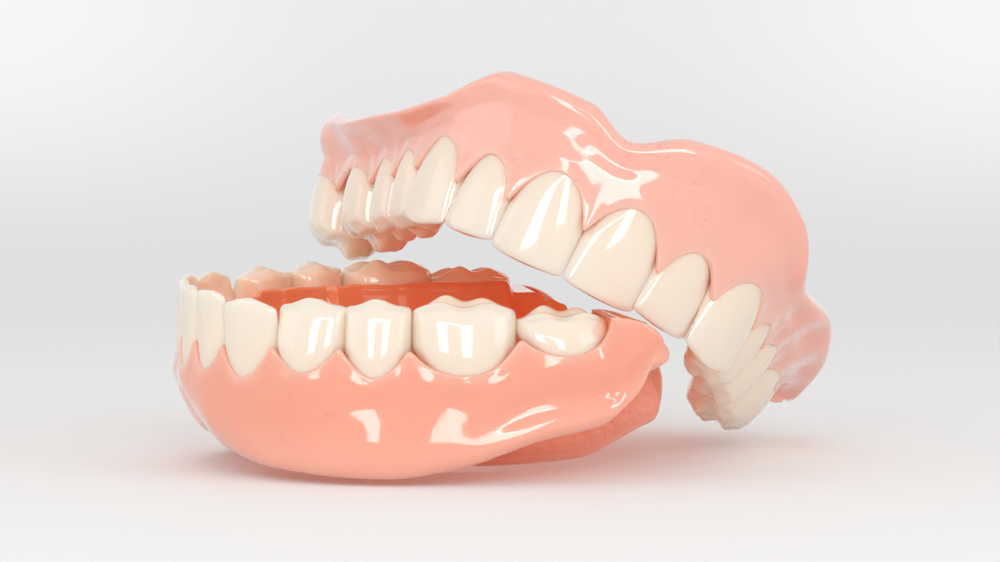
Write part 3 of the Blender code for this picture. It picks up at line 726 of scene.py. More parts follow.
class DentureShape:
    """One denture's sizes, read at any place along its arch."""

    RINGS_PER_TOOTH = 16    # sections along a tooth
    PAD_RINGS = 8           # sections behind the last tooth
    CAP_RINGS = 6           # sections that close an end
    STEPS = 3               # points of the curve for each point of a section
    MERGE = 0.01 * MM       # points closer than this are one
    # The gum's edge, from below: how far it stands off the tooth, as a share of the lip, and how deep.
    LIP_PROFILE = ((0.80, 0.55 * MM), (0.22, 0.08 * MM))
    LIP_TOP = -0.02 * MM
    # The fitting side across the ridge: places as shares of its half width, falls in crest steps.
    CREST_PROFILE = ((1, 1.4), (0.6, 0.3), (0, 0), (-0.6, 0.3), (-1, 1.4))
    CREST_IN = 1.6          # how far the upper ridge lies inside its border, in border rolls
    WALL_DROP = 0.8         # depth of a wall inside its border, in border rolls
    WALL_MIDDLE = (0.5, 0.45)  # a wall's middle: shares out and deep
    TONGUE_ROLL, TONGUE_WALL = 0.4, 1.5  # the lower tongue side's, out from its border
    FAR_WALL = (0.5, 0.55)  # the middle of its wall
    SLOPE_RISE, SLOPE_THICK = 0.2, 1.1  # the palate's slope, in thicknesses of it
    VAULT_SHARES = (1.0, 0.62, 0.3)  # its points, from the midline

    def __init__(self, form: DentureForm) -> None:
        """Measure the arch, place the teeth and stand the denture.

        Args:
            form: the denture's sizes.
        """
        self.form = form
        self.curve = ArchCurve(form.arch)
        self.upper = form.jaw is Jaw.UPPER
        self.root_sign = 1 if self.upper else -1
        self.edges = [0.0]
        for spec in form.teeth[Side.LEFT]:
            self.edges.append(self.edges[-1] + spec.width)
        self.end = self.edges[-1] + form.pad_length
        turn = Euler([math.radians(angle) for angle in form.turn_deg]).to_matrix().to_4x4()
        self.stand = Matrix.Translation(SET_AT) @ Matrix.Translation(Vector(form.at)) @ turn
        self.tooth_forms = {side: [ToothForm(spec) for spec in form.teeth[side]] for side in Side}

    @staticmethod
    def side_of(along: float) -> Side:
        """Return the side of the wearer at a place along the arch."""
        return Side.LEFT if along > 0 else Side.RIGHT

    def point(self, along: float, out: float, deep: float) -> Vector:
        """Return a point of the denture's own frame from its three lengths."""
        plan = self.curve.on_line(along) + self.curve.outward(along) * out
        return Vector((plan.x, plan.y, self.root_sign * deep))

    def world(self, along: float, out: float, deep: float) -> Vector:
        """Return a point of the row frame from its three lengths."""
        return self.stand @ self.point(along, out, deep)

    def border(self, along: float) -> tuple[float, float]:
        """Return where the lip and cheek border lies: out and deep."""
        side = self.side_of(along)
        return self.form.border_out[side].at(abs(along)), self.form.border[side].at(abs(along))

    def scallop(self, share: float, kind: Kind) -> float:
        """Return how far the gum's edge has risen to a papilla, at a share of a tooth's half width."""
        power = self.form.scallop_round * (GUM.molar_flat if kind is Kind.MOLAR else 1)
        return 1 - max(1 - share ** power, 0.0) ** self.form.scallop_steep

    def ripple(self, along: float) -> float:
        """Return how far back a place is: 0 in front and 1 where the back teeth stand."""
        return ease((abs(along) - GUM.ripple_start) / GUM.ripple_run)

    def neck(self, along: float) -> Edge:
        """Find the gum's edge round a tooth.

        Args:
            along: place along the arch.

        Returns:
            Facial out and deep, then tongue side out and deep.
        """
        place = abs(along)
        forms = self.tooth_forms[self.side_of(along)]
        last = len(forms) - 1
        index = min(bisect_right(self.edges, place) - 1, last)
        form = forms[index]
        spec = form.spec
        middle = self.edges[index] + spec.width / 2
        across = min(abs(place - middle), spec.width / 2)
        share = self.scallop(across / (spec.width / 2), spec.kind)
        ahead = index if place > middle else index - 1
        first, second = forms[max(ahead, 0)].spec, forms[min(ahead + 1, last)].spec
        deep = spec.short + spec.crown
        between_deep = (first.crown + first.short + second.crown + second.short) / 2 - first.papilla
        between_facial = (first.neck + second.neck + first.outset + second.outset) / 2
        between_tongue = between_facial - (first.thick + second.thick) / 2
        facial_deep = blend(deep, between_deep, share)
        tongue_neck = blend(deep, spec.short, 1 - self.form.neck_share)
        tongue_deep = blend(tongue_neck, min(between_deep, tongue_neck) - GUM.tongue_recess, share)
        recess = GUM.papilla_recess + (GUM.back_recess * self.ripple(along) if self.upper else 0)
        facial = smooth_max(form.surface_out(across, facial_deep, True),
                            between_facial - recess, GUM.papilla_blend)
        tongue = -smooth_max(-form.surface_out(across, tongue_deep, False),
                             -(between_tongue + GUM.papilla_recess), GUM.papilla_blend)
        return facial, facial_deep, tongue, tongue_deep

    def neck_line(self, along: float) -> tuple[float, float, float]:
        """Find an even line through the teeth's necks.

        Args:
            along: place along the arch.

        Returns:
            Facial out and deep, then tongue side out.
        """
        place = abs(along)
        specs = self.form.teeth[self.side_of(along)]
        middles = [start + spec.width / 2 for start, spec in zip(self.edges, specs)]
        after = min(max(bisect_right(middles, place), 1), len(middles) - 1)
        first, second = specs[after - 1], specs[after]
        share = ease((place - middles[after - 1]) / (middles[after] - middles[after - 1]))
        facial = blend(first.neck + first.outset, second.neck + second.outset, share)
        return (facial, blend(first.crown + first.short, second.crown + second.short, share),
                facial - blend(first.thick, second.thick, share))

    def pad_share(self, along: float) -> float:
        """Return how far a section has turned into the pad behind the last tooth."""
        return ease((abs(along) - self.edges[-1] + GUM.pad_early) / GUM.pad_rise)

    def gum_edge(self, along: float) -> Edge:
        """Find the gum's edge, which runs into the pad behind the last tooth.

        Args:
            along: place along the arch.

        Returns:
            Facial out and deep, then tongue side out and deep.
        """
        facial, deep, tongue, tongue_deep = self.neck(along)
        pad = self.pad_share(along)
        pad_deep = self.form.pad_deep[self.side_of(along)] + GUM.lip
        return (blend(facial, GUM.pad_facial_out, pad), blend(deep, pad_deep, pad),
                blend(tongue, -self.form.pad_tongue_out, pad), blend(tongue_deep, pad_deep, pad))

    def eminence(self, along: float) -> float:
        """Find how far the gum bulges over a tooth's root.

        Args:
            along: place along the arch.

        Returns:
            The swelling, which is below zero between two roots.
        """
        place = abs(along)
        index = min(bisect_right(self.edges, place) - 1, len(self.edges) - 2)
        width = self.edges[index + 1] - self.edges[index]
        wave = math.cos(2 * math.pi * (place - self.edges[index] - width / 2) / width)
        fade = 1 - ease((place - self.edges[-2]) / (self.end - self.edges[-2]))
        gain = self.form.eminence_gain + (GUM.ripple_gain * self.ripple(along) if self.upper else 0)
        return GUM.eminence * wave * fade * gain

    def belly(self, along: float) -> float:
        """Find how far the flange stands out halfway between its border and the gum's edge.

        Args:
            along: place along the arch.

        Returns:
            The swelling, which is below zero in a groove.
        """
        if self.upper:
            return GUM.cheek_belly * hill(along, -GUM.cheek_belly_at, GUM.belly_spread)
        swell = GUM.belly * hill(abs(along), GUM.belly_at, GUM.belly_spread)
        swell += GUM.chin_belly * hill(abs(along), GUM.chin_belly_at, GUM.chin_belly_spread)
        return swell - GUM.groove * ease((abs(along) - GUM.belly_at) / GUM.groove_run)

    def polished_side(self, along: float) -> list[Place]:
        """Lay out the outer face of a section, from the facial border over the gum to the tongue.

        Args:
            along: the section's place along the arch.

        Returns:
            Its points, out and deep.
        """
        facial, deep, tongue, tongue_deep = self.gum_edge(along)
        even_out, even_deep, _ = self.neck_line(along)
        border_out, border_deep = self.border(along)
        pad = self.pad_share(along)
        slow = ease((abs(along) - self.edges[-1] + GUM.pad_lead) / (GUM.pad_rise + 2 * GUM.pad_lead))
        even_out, even_deep = blend(even_out, facial, pad), blend(even_deep, deep, slow)
        below = min(GUM.edge_drop, (border_deep - GUM.border_roll - even_deep) / 2)
        roll = (border_out + GUM.border_roll, border_deep - GUM.border_roll)
        swell = self.eminence(along)
        bulge = (blend(even_out, facial, GUM.follow) + GUM.lip + GUM.bulge + swell * GUM.bulge_swell,
                 blend(even_deep, deep, GUM.follow) + below)
        even_bulge = (even_out + GUM.lip + GUM.bulge, even_deep + below)
        dip = GUM.polish_dip * (1 - pad) - swell
        middle = (blend(roll[0], even_bulge[0], GUM.middle_share) - dip + self.belly(along),
                  blend(roll[1], even_bulge[1], GUM.middle_share))
        under = (blend(roll[0], even_bulge[0], self.form.under_out) - dip * GUM.under_dip,
                 blend(roll[1], even_bulge[1], GUM.under_share))
        sunk = GUM.saddle_depth * (1 - pad)
        tuck = GUM.tuck * (1 - pad)
        lip = [(facial + GUM.lip * share, deep + drop) for share, drop in self.LIP_PROFILE]
        tongue_lip = [(tongue - GUM.lip * share, tongue_deep + drop)
                      for share, drop in reversed(self.LIP_PROFILE)]
        return [(border_out, border_deep), roll, middle, under, bulge, *lip,
                (facial - tuck, deep + self.LIP_TOP),
                (facial - GUM.lip - tuck, deep + sunk),
                (tongue + GUM.lip + tuck, tongue_deep + sunk),
                (tongue + tuck, tongue_deep + self.LIP_TOP), *tongue_lip]

    def channel(self, along: float) -> list[Place]:
        """Lay out the fitting side across the ridge, from the facial border inwards.

        Args:
            along: the section's place along the arch.

        Returns:
            Its points, out and deep.
        """
        border_out, border_deep = self.border(along)
        half = self.form.channel_half
        if self.upper:
            crest_out = border_out - GUM.border_roll * self.CREST_IN - half
        else:
            crest_out = (border_out + self.form.tongue_out.at(abs(along))) / 2
        crest_deep = self.form.crest.at(abs(along))
        wall_out = border_out - GUM.border_roll
        wall_deep = border_deep - GUM.border_roll * self.WALL_DROP
        middle = (blend(wall_out, crest_out + half, self.WALL_MIDDLE[0]),
                  blend(wall_deep, crest_deep, self.WALL_MIDDLE[1]))
        return [(wall_out, wall_deep), middle] + [
            (crest_out + half * share, crest_deep + GUM.crest_step * fall)
            for share, fall in self.CREST_PROFILE]

    def set_back(self, along: float, deep: float) -> float:
        """Find where a point of the polished side stands, so that the heel ends round.

        Args:
            along: the section's place along the arch.
            deep: the point's depth.

        Returns:
            The point's own place along the arch.
        """
        top = self.form.pad_deep[self.side_of(along)] + GUM.lip
        _, border_deep = self.border(along)
        heel_round = GUM.heel_round_end - top
        near = min(max(1 - (deep - top) / heel_round, 0.0), 1.0)
        low = min(max(1 - (border_deep - deep) / GUM.heel_low, 0.0), 1.0)
        amount = heel_round * quarter_round(near) + GUM.heel_low * quarter_round(low)
        reach = ease((abs(along) - self.end + GUM.heel_reach) / GUM.heel_reach)
        return along - math.copysign(amount * reach, along)

    def swept(self, along: float) -> float:
        """Return the place of the tongue side's border, which reaches further back than the rest."""
        reach = ease((abs(along) - GUM.flange_start) / (self.end - GUM.flange_start))
        return along + math.copysign(GUM.flange_sweep * reach, along)

    def lower_ring(self, along: float) -> list[Vector]:
        """Lay out a closed section of a lower base, from its facial border round to the channel.

        Args:
            along: its place along the arch.

        Returns:
            Its points, in the denture's own frame.
        """
        polished, channel = self.polished_side(along), self.channel(along)
        _, _, tongue, tongue_deep = self.gum_edge(along)
        border_out = self.form.tongue_out.at(abs(along))
        border_deep = self.form.tongue_border[self.side_of(along)].at(abs(along))
        roll = (border_out - GUM.border_roll * self.TONGUE_ROLL, border_deep - GUM.border_roll)
        edge = (tongue - GUM.lip, tongue_deep + GUM.edge_drop)
        middle = ((roll[0] + edge[0]) / 2 + GUM.polish_dip, (roll[1] + edge[1]) / 2)
        wall = (border_out + GUM.border_roll * self.TONGUE_WALL,
                border_deep - GUM.border_roll * self.WALL_DROP)
        far_wall = tuple(map(blend, wall, channel[-1], self.FAR_WALL))
        flange = [middle, roll, (border_out, border_deep), wall, far_wall]
        return ([self.point(self.set_back(along, deep), out, deep) for out, deep in polished + [edge]]
                + [self.point(self.swept(along), out, deep) for out, deep in flange]
                + [self.point(self.set_back(along, deep), out, deep) for out, deep in reversed(channel)])

    def upper_ring(self, along: float) -> list[Vector]:
        """Lay out an open section of an upper base, from the palate's midline round to it again.

        Args:
            along: its place along the arch.

        Returns:
            Its points, in the denture's own frame.
        """
        _, _, tongue, tongue_deep = self.gum_edge(along)
        _, _, even_tongue = self.neck_line(along)
        crest_deep = self.form.crest.at(abs(along))
        slope_out = even_tongue - GUM.lip - GUM.palate_slope_out
        slope = self.point(along, slope_out, crest_deep - GUM.palate_thick * self.SLOPE_RISE)
        back_slope = self.point(along, slope_out + GUM.palate_thick * self.SLOPE_THICK,
                                crest_deep + GUM.palate_thick)
        middle_y = blend(GUM.palate_front, GUM.palate_back, (abs(along) / self.end) ** GUM.palate_run)
        height = self.form.palate.at(middle_y)
        middle = Vector((0, middle_y, height))
        back_middle = Vector((0, middle_y, height + GUM.palate_thick))
        gum = [self.point(along, tongue - GUM.lip, tongue_deep + GUM.edge_drop)]
        gum += [self.point(along, out, deep) for out, deep in reversed(self.polished_side(along))]
        gum += [self.point(along, out, deep) for out, deep in self.channel(along)]
        vault = [self.vault_point(middle, slope, share) for share in self.VAULT_SHARES]
        back_vault = [self.vault_point(back_middle, back_slope, share)
                      for share in reversed(self.VAULT_SHARES)]
        return vault + [slope] + gum + [gum[-1].lerp(back_slope, 0.5), back_slope] + back_vault

    @staticmethod
    def vault_point(middle: Vector, slope: Vector, share: float) -> Vector:
        """Find a point of the palate on an arched line.

        Args:
            middle: the line's end on the midline.
            slope: its end beside the teeth.
            share: how far from there to the midline.

        Returns:
            The point.
        """
        point = slope.lerp(middle, share)
        point.z = blend(slope.z, middle.z, math.sin(math.pi / 2 * share ** GUM.palate_arch))
        return point

    def rounded(self, ring: list[Vector], turn: float) -> list[Vector]:
        """Close a ring towards its own middle line while it runs on backwards.

        Args:
            ring: the last full section's points.
            turn: how far round the base's end it stands, up to a quarter turn.

        Returns:
            The closing section's points.
        """
        closing = []
        for index, point in enumerate(ring):
            partner = ring[len(ring) - 1 - index] if self.upper else ring[-index % len(ring)]
            middle = (point + partner) / 2
            back = Vector((0, GUM.end_round * math.sin(turn), 0))
            closing.append(middle.lerp(point, math.cos(turn)) + back)
        return closing

    def rings(self) -> list[list[Vector]]:
        """Lay out every section, from the right end round to the left one.

        Returns:
            Their points, in the denture's own frame.
        """
        section = self.upper_ring if self.upper else self.lower_ring
        halves = [start + spec.width * step / self.RINGS_PER_TOOTH
                  for start, spec in zip(self.edges, self.form.teeth[Side.LEFT])
                  for step in range(self.RINGS_PER_TOOTH)]
        pad = self.end - self.edges[-1]
        halves += [self.edges[-1] + pad * step / self.PAD_RINGS for step in range(self.PAD_RINGS + 1)]
        places = [-place for place in reversed(halves[1:])] + halves
        rings = [spline(section(place), not self.upper, self.STEPS) for place in places]
        turns = [math.pi / 2 * step / self.CAP_RINGS for step in range(1, self.CAP_RINGS + 1)]
        return ([self.rounded(rings[0], turn) for turn in reversed(turns)] + rings
                + [self.rounded(rings[-1], turn) for turn in turns])

    def base_mesh(self) -> bpy.types.Mesh:
        """Build the base as a grid of fine sections, bent round the arch.

        Returns:
            The mesh, in the row frame, with the fitting side marked, and the tongue side and the rims
            marked for painted glow and painted light.
        """
        form, rings = self.form, self.rings()
        columns = len(rings[0]) - (1 if self.upper else 0)
        bm = bmesh.new()
        bmesh.ops.create_grid(bm, x_segments=columns, y_segments=len(rings) - 1, size=1.0)
        fitting = bm.verts.layers.float.new("fitting_side")
        inside = bm.verts.layers.float.new("tongue_side")
        rim = bm.verts.layers.float.new("gum_rim")
        for vert in bm.verts:
            row = round((vert.co.y + 1) / 2 * (len(rings) - 1))
            column = round((vert.co.x + 1) / 2 * columns) % len(rings[0])
            control = column / self.STEPS
            vert[fitting] = float(form.fitting[0] < control < form.fitting[1])
            # the tongue side, which the material paints with a glow of bounced light
            vert[inside] = float(form.inside[0] < control < form.inside[1])
            # the rims at the gum's edge and along the lower border, which the material paints paler as
            # painted light
            border = 0.0 if self.upper else 1 - control / GUM.border_fade
            vert[rim] = max(1 - abs(control - form.rim) / GUM.rim_spread, border, 0.0)
            vert.co = self.stand @ rings[row][column]
        bmesh.ops.remove_doubles(bm, verts=bm.verts, dist=self.MERGE)
        face_outwards(bm)
        return to_mesh(f"{form.jaw.value}_base_acrylic", bm)


@dataclass(frozen=True)
class Noise:
    """A cloudy pattern: how fine it is, in how many steps, and how much the finest ones count."""
    scale: float
    detail: float = 2.0
    roughness: float = 0.5


@dataclass(frozen=True)
class Relief:
    """How strongly a pattern stands out of a surface."""
    strength: float
    height: float


class Nodes:
    """A shader node tree, with a short way to add each node that the looks need."""

    MIX_SHARE, MIX_FIRST, MIX_SECOND, MIX_RESULT = 0, 6, 7, 2       # sockets of a colour mix

    def __init__(self, tree: bpy.types.NodeTree) -> None:
        """Hold the tree of a material or of the world."""
        self.tree = tree

    def add(self, kind: str, values: dict[str | int, Value], **choices: str) -> bpy.types.Node:
        """Add a node.

        Args:
            kind: its type, without the ShaderNode in front.
            values: what each input is set to or linked from.
            choices: the node's own settings, such as its operation.

        Returns:
            The node.
        """
        node = self.tree.nodes.new(f"ShaderNode{kind}")
        for name, choice in choices.items():
            setattr(node, name, choice)
        return self.feed(node, values)

    def feed(self, node: bpy.types.Node, values: dict[str | int, Value]) -> bpy.types.Node:
        """Set or link a node's inputs.

        Args:
            node: the node.
            values: a number, a colour, a direction or another node's output for each input.

        Returns:
            The same node.
        """
        for key, value in values.items():
            socket = node.inputs[key]
            if isinstance(value, bpy.types.NodeSocket):
                self.tree.links.new(value, socket)
            else:
                socket.default_value = (*value, 1.0) if socket.type == "RGBA" else value
        return node

    def math(self, operation: str, *values: Value) -> bpy.types.NodeSocket:
        """Return the result of a calculation."""
        return self.add("Math", dict(enumerate(values)), operation=operation).outputs[0]

    def noise(self, place: bpy.types.NodeSocket, look: Noise) -> bpy.types.NodeSocket:
        """Return a noise over a place."""
        return self.add("TexNoise", {"Vector": place, "Scale": look.scale, "Detail": look.detail,
                                     "Roughness": look.roughness}).outputs["Fac"]

    def scaled(self, place: bpy.types.NodeSocket, scale: Colour) -> bpy.types.NodeSocket:
        """Return a place with its three directions scaled."""
        return self.add("Mapping", {"Vector": place, "Scale": scale}).outputs[0]

    def mix(self, share: Value, first: Value, second: Value) -> bpy.types.NodeSocket:
        """Return the colour a share of the way from the first to the second."""
        return self.add("Mix", {self.MIX_SHARE: share, self.MIX_FIRST: first, self.MIX_SECOND: second},
                        data_type="RGBA").outputs[self.MIX_RESULT]

    def mix_shaders(self, share: Value, first: Value, second: Value) -> bpy.types.NodeSocket:
        """Return the shader a share of the way from the first to the second."""
        return self.add("MixShader", {0: share, 1: first, 2: second}).outputs[0]

    def ranged(self, value: Value, low: float, high: float) -> bpy.types.NodeSocket:
        """Return a value that rises smoothly from 0 at the low end to 1 at the high one."""
        return self.add("MapRange", {"Value": value, "From Min": low, "From Max": high},
                        interpolation_type="SMOOTHSTEP").outputs["Result"]

    def vector(self, operation: str, *values: Value) -> bpy.types.NodeSocket:
        """Return the number that a calculation on directions gives."""
        return self.add("VectorMath", dict(enumerate(values)), operation=operation).outputs["Value"]

    def attribute(self, name: str) -> bpy.types.NodeSocket:
        """Return one of the piece's own attributes."""
        return self.add("Attribute", {}, attribute_name=name).outputs["Fac"]

    def place(self, kind: str) -> bpy.types.NodeSocket:
        """Return a texture coordinate."""
        return self.add("TexCoord", {}).outputs[kind]

    def bump(self, height: Value, relief: Relief, **under: Value) -> bpy.types.NodeSocket:
        """Return a surface direction with a pattern on it, over another one given as Normal."""
        return self.add("Bump", {"Height": height, "Strength": relief.strength,
                                 "Distance": relief.height, **under}).outputs[0]

    def seen_directly(self) -> bpy.types.NodeSocket:
        """Return 1 for what the camera sees, straight or in and through a glossy surface."""
        rays = self.add("LightPath", {}).outputs
        seen = self.math("MAXIMUM", rays["Is Camera Ray"], rays["Is Glossy Ray"])
        return self.math("MAXIMUM", seen, rays["Is Transmission Ray"])


class Acrylic:
    """A glossy material in the making, which lets tinted light through into its shadow."""

    COAT_ROUGHNESS = 0.05
    REFRACTION = 1.49

    def __init__(self, finish: Finish) -> None:
        """Start the material.

        Args:
            finish: its look.
        """
        self.finish = finish
        self.made = bpy.data.materials.new(finish.name)
        self.made.use_nodes = True
        tree = self.made.node_tree
        self.nodes = Nodes(tree)
        self.shader = self.nodes.feed(tree.nodes["Principled BSDF"], {
            "Roughness": finish.roughness,
            "Subsurface Weight": finish.scatter.weight,
            "Subsurface Scale": finish.scatter.scale,
            "Subsurface Radius": finish.scatter.radius,
            "Coat Weight": finish.coat,
            "Coat Roughness": self.COAT_ROUGHNESS,
            "IOR": self.REFRACTION})
        clear = self.nodes.add("BsdfTransparent", {"Color": finish.shine_through})
        shadow = self.nodes.add("LightPath", {}).outputs["Is Shadow Ray"]
        self.nodes.feed(tree.nodes["Material Output"], {
            "Surface": self.nodes.mix_shaders(shadow, self.shader.outputs[0], clear.outputs[0])})
        self.place = self.nodes.place("Object")

    def tinted(self, colour: Value, share: Value, part: Value, tint: Value) -> bpy.types.NodeSocket:
        """Tint a part of the surface.

        Args:
            colour: the colour so far.
            share: how strong the tint is.
            part: where it lies, from 0 to 1.
            tint: its colour.

        Returns:
            The colour with its tint.
        """
        return self.nodes.mix(self.nodes.math("MULTIPLY", part, share), colour, tint)

    def relief(self, pattern: Noise, relief: Relief, **under: Value) -> bpy.types.NodeSocket:
        """Return a surface direction with a noise on it, over another one given as Normal."""
        return self.nodes.bump(self.nodes.noise(self.place, pattern), relief, **under)


class GumAcrylic(Acrylic):
    """The bases' pink acrylic: cloudy, faintly veined, glossy, rough where it fits the gum; painted glow
    inside, painted light on rims.
    """

    CLOUD, CLOUD_SHARE = Noise(110.0, 3.0), 0.35
    VEIN, VEIN_STRETCH, VEIN_HALF = Noise(520.0), (1.0, 0.35, 1.6), 0.012
    VEIN_MIDDLE, VEIN_SHARE, VEIN_COLOUR = 0.5, 0.30, (0.78, 0.16, 0.12)
    PATCH, PATCH_LOW, PATCH_HIGH = Noise(330.0, 1.0), 0.56, 0.64
    # how strongly the rims are painted paler, as painted light
    PAINTED_RIM_LIGHT_SHARE = 0.45
    FITTING_ROUGHER = 0.32
    SWELL, SWELL_RELIEF = Noise(260.0), Relief(0.10, 0.4 * MM)
    HATCH, HATCH_STRETCH, HATCH_RELIEF = Noise(1600.0), (1.0, 1.0, 0.1), Relief(0.10, 0.12 * MM)
    GRAIN, GRAIN_RELIEF = Noise(620.0, 5.0, 0.65), Relief(1.0, 0.6 * MM)

    def build(self) -> Self:
        """Finish the material.

        Returns:
            The same one, ready.
        """
        nodes, finish, place = self.nodes, self.finish, self.place
        colour = self.tinted(finish.colour, self.CLOUD_SHARE, nodes.noise(place, self.CLOUD),
                             finish.deep_colour)
        vein = nodes.noise(nodes.scaled(place, self.VEIN_STRETCH), self.VEIN)
        vein = nodes.math("ABSOLUTE", nodes.math("SUBTRACT", vein, self.VEIN_MIDDLE))
        patch = nodes.ranged(nodes.noise(place, self.PATCH), self.PATCH_LOW, self.PATCH_HIGH)
        thin = nodes.math("MULTIPLY", nodes.ranged(vein, self.VEIN_HALF, 0.0), patch)
        colour = self.tinted(colour, self.VEIN_SHARE, thin, self.VEIN_COLOUR)
        # painted glow: the tongue side is tinted deeper orange in place of light bounced and let through
        # the acrylic
        colour = self.tinted(colour, finish.painted_glow_share, nodes.attribute("tongue_side"),
                             finish.painted_glow_colour)
        # painted light: the rims at the gum's edge and the lower border are tinted paler
        colour = self.tinted(colour, self.PAINTED_RIM_LIGHT_SHARE, nodes.attribute("gum_rim"), finish.painted_rim_light_colour)
        fitting = nodes.attribute("fitting_side")
        grain = nodes.math("MULTIPLY", nodes.noise(place, self.GRAIN), fitting)
        normal = self.relief(self.SWELL, self.SWELL_RELIEF)
        hatch = nodes.noise(nodes.scaled(place, self.HATCH_STRETCH), self.HATCH)
        normal = nodes.bump(hatch, self.HATCH_RELIEF, Normal=normal)
        nodes.feed(self.shader, {
            "Base Color": colour,
            "Roughness": nodes.math("MULTIPLY_ADD", fitting, self.FITTING_ROUGHER, finish.roughness),
            "Normal": nodes.bump(grain, self.GRAIN_RELIEF, Normal=normal)})
        return self


class ToothAcrylic(Acrylic):
    """The teeth's ivory acrylic: warmer at the neck, paler at the tip, smooth and glossy, with a painted
    warm glow on the tongue side.
    """

    NECK_POWER, NECK_SHARE = 2.2, 0.75
    CLOUD, CLOUD_SHARE, CLOUD_COLOUR = Noise(180.0), 0.12, (0.95, 0.90, 0.82)
    SWELL, SWELL_RELIEF = Noise(320.0), Relief(0.06, 0.3 * MM)

    def build(self) -> Self:
        """Finish the material.

        Returns:
            The same one, ready.
        """
        nodes, finish = self.nodes, self.finish
        warm = nodes.math("POWER", nodes.attribute("crown_height"), self.NECK_POWER)
        colour = self.tinted(finish.colour, self.NECK_SHARE, warm, finish.deep_colour)
        colour = self.tinted(colour, self.CLOUD_SHARE, nodes.noise(self.place, self.CLOUD),
                             self.CLOUD_COLOUR)
        # painted glow: the tongue side is tinted warm in place of light bounced from the pink base
        colour = self.tinted(colour, finish.painted_glow_share, nodes.attribute("tongue_side"),
                             finish.painted_glow_colour)
        nodes.feed(self.shader, {"Base Color": colour,
                                 "Normal": self.relief(self.SWELL, self.SWELL_RELIEF)})
        return self


class DentureBuilder:
    """Builds one denture's pieces and stands them for the frame's nodes."""

    def __init__(self, form: DentureForm, gum: GumAcrylic, ivory: ToothAcrylic) -> None:
        """Hold the denture's shape and its materials.

        Args:
            form: the denture's sizes.
            gum: the material of its base.
            ivory: the material of its teeth.
        """
        self.shape = DentureShape(form)
        self.gum = gum
        self.ivory = ivory

    def build(self) -> None:
        """Build the base and its teeth."""
        jaw = self.shape.form.jaw.value
        self.piece(self.shape.base_mesh(), self.gum, f"{jaw}_base")
        for side in Side:
            for start, form in zip(self.shape.edges, self.shape.tooth_forms[side]):
                mesh = form.mesh(self.shape, start + form.spec.width / 2, side)
                node = f"{jaw}_{side.name.lower()}_{form.spec.name}"
                self.piece(mesh, self.ivory, node)

    @staticmethod
    def piece(mesh: bpy.types.Mesh, acrylic: Acrylic, node: str) -> None:
        """Dress a mesh and stand it for a node.

        Args:
            mesh: the piece's mesh, in place.
            acrylic: its material.
            node: the node that it replaces.
        """
        mesh.materials.append(acrylic.made)
        piece = bpy.data.objects.new(mesh.name, mesh)
        bpy.context.scene.collection.objects.link(piece)
        smooth = piece.modifiers.new("smooth", "SUBSURF")
        smooth.levels = smooth.render_levels = 1
        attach(piece, "root")
        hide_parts(node)
        log.info("%s: %d points stand for %s", piece.name, len(mesh.vertices), node)


@dataclass(frozen=True)
class View:
    """The camera's place, from the photograph's geometry."""
    azimuth: float = 76.258
    elevation: float = 3.269
    distance: float = 360.841 * MM
    lens_mm: float = 115.78
    sensor_mm: float = 36.0
    nearest: float = 10 * MM
    target: tuple[float, float, float] = (2.475 * MM, 34.856 * MM, 18.907 * MM)


@dataclass(frozen=True)
class Lamp:
    """A soft light, placed right, up and towards the camera from the set's middle."""
    name: str
    offset: tuple[float, float, float]
    size: tuple[float, float]
    power: float


@dataclass(frozen=True)
class Backdrop:
    """What the camera sees behind the floor, and the light that the room gives."""
    room: Colour = (0.68, 0.68, 0.68)
    dark: Colour = (0.745, 0.745, 0.75)
    pale: Colour = (0.83, 0.83, 0.835)
    corner: Colour = (0.93, 0.93, 0.93)
    low: float = -0.055         # heights between which it pales, as shares of the way up
    high: float = 0.03
    side_start: float = 0.03    # the same, from the middle to the sides
    side_end: float = 0.16


@dataclass(frozen=True)
class Floor:
    """The plain pale floor."""
    half: float = 1200 * MM
    below: float = 0.2 * MM
    colour: Colour = (0.89, 0.89, 0.885)
    roughness: float = 0.7
    specular: float = 0.2
    lift: float = 0.07          # light of its own that only the camera sees
    fade_start: float = 120 * MM
    fade_end: float = 340 * MM


LAMPS = (
    Lamp("key_left", (-0.165, 0.15, 0.40), (0.095, 0.17), 0.26),
    Lamp("key_right", (0.055, 0.15, 0.42), (0.095, 0.17), 0.26),
    Lamp("key_top", (-0.055, 0.246, 0.41), (0.315, 0.02), 0.105),
    Lamp("fill_left", (-0.42, 0.16, 0.10), (0.30, 0.24), 0.14),
    Lamp("fill_right", (0.38, 0.20, 0.20), (0.30, 0.24), 0.27),
)


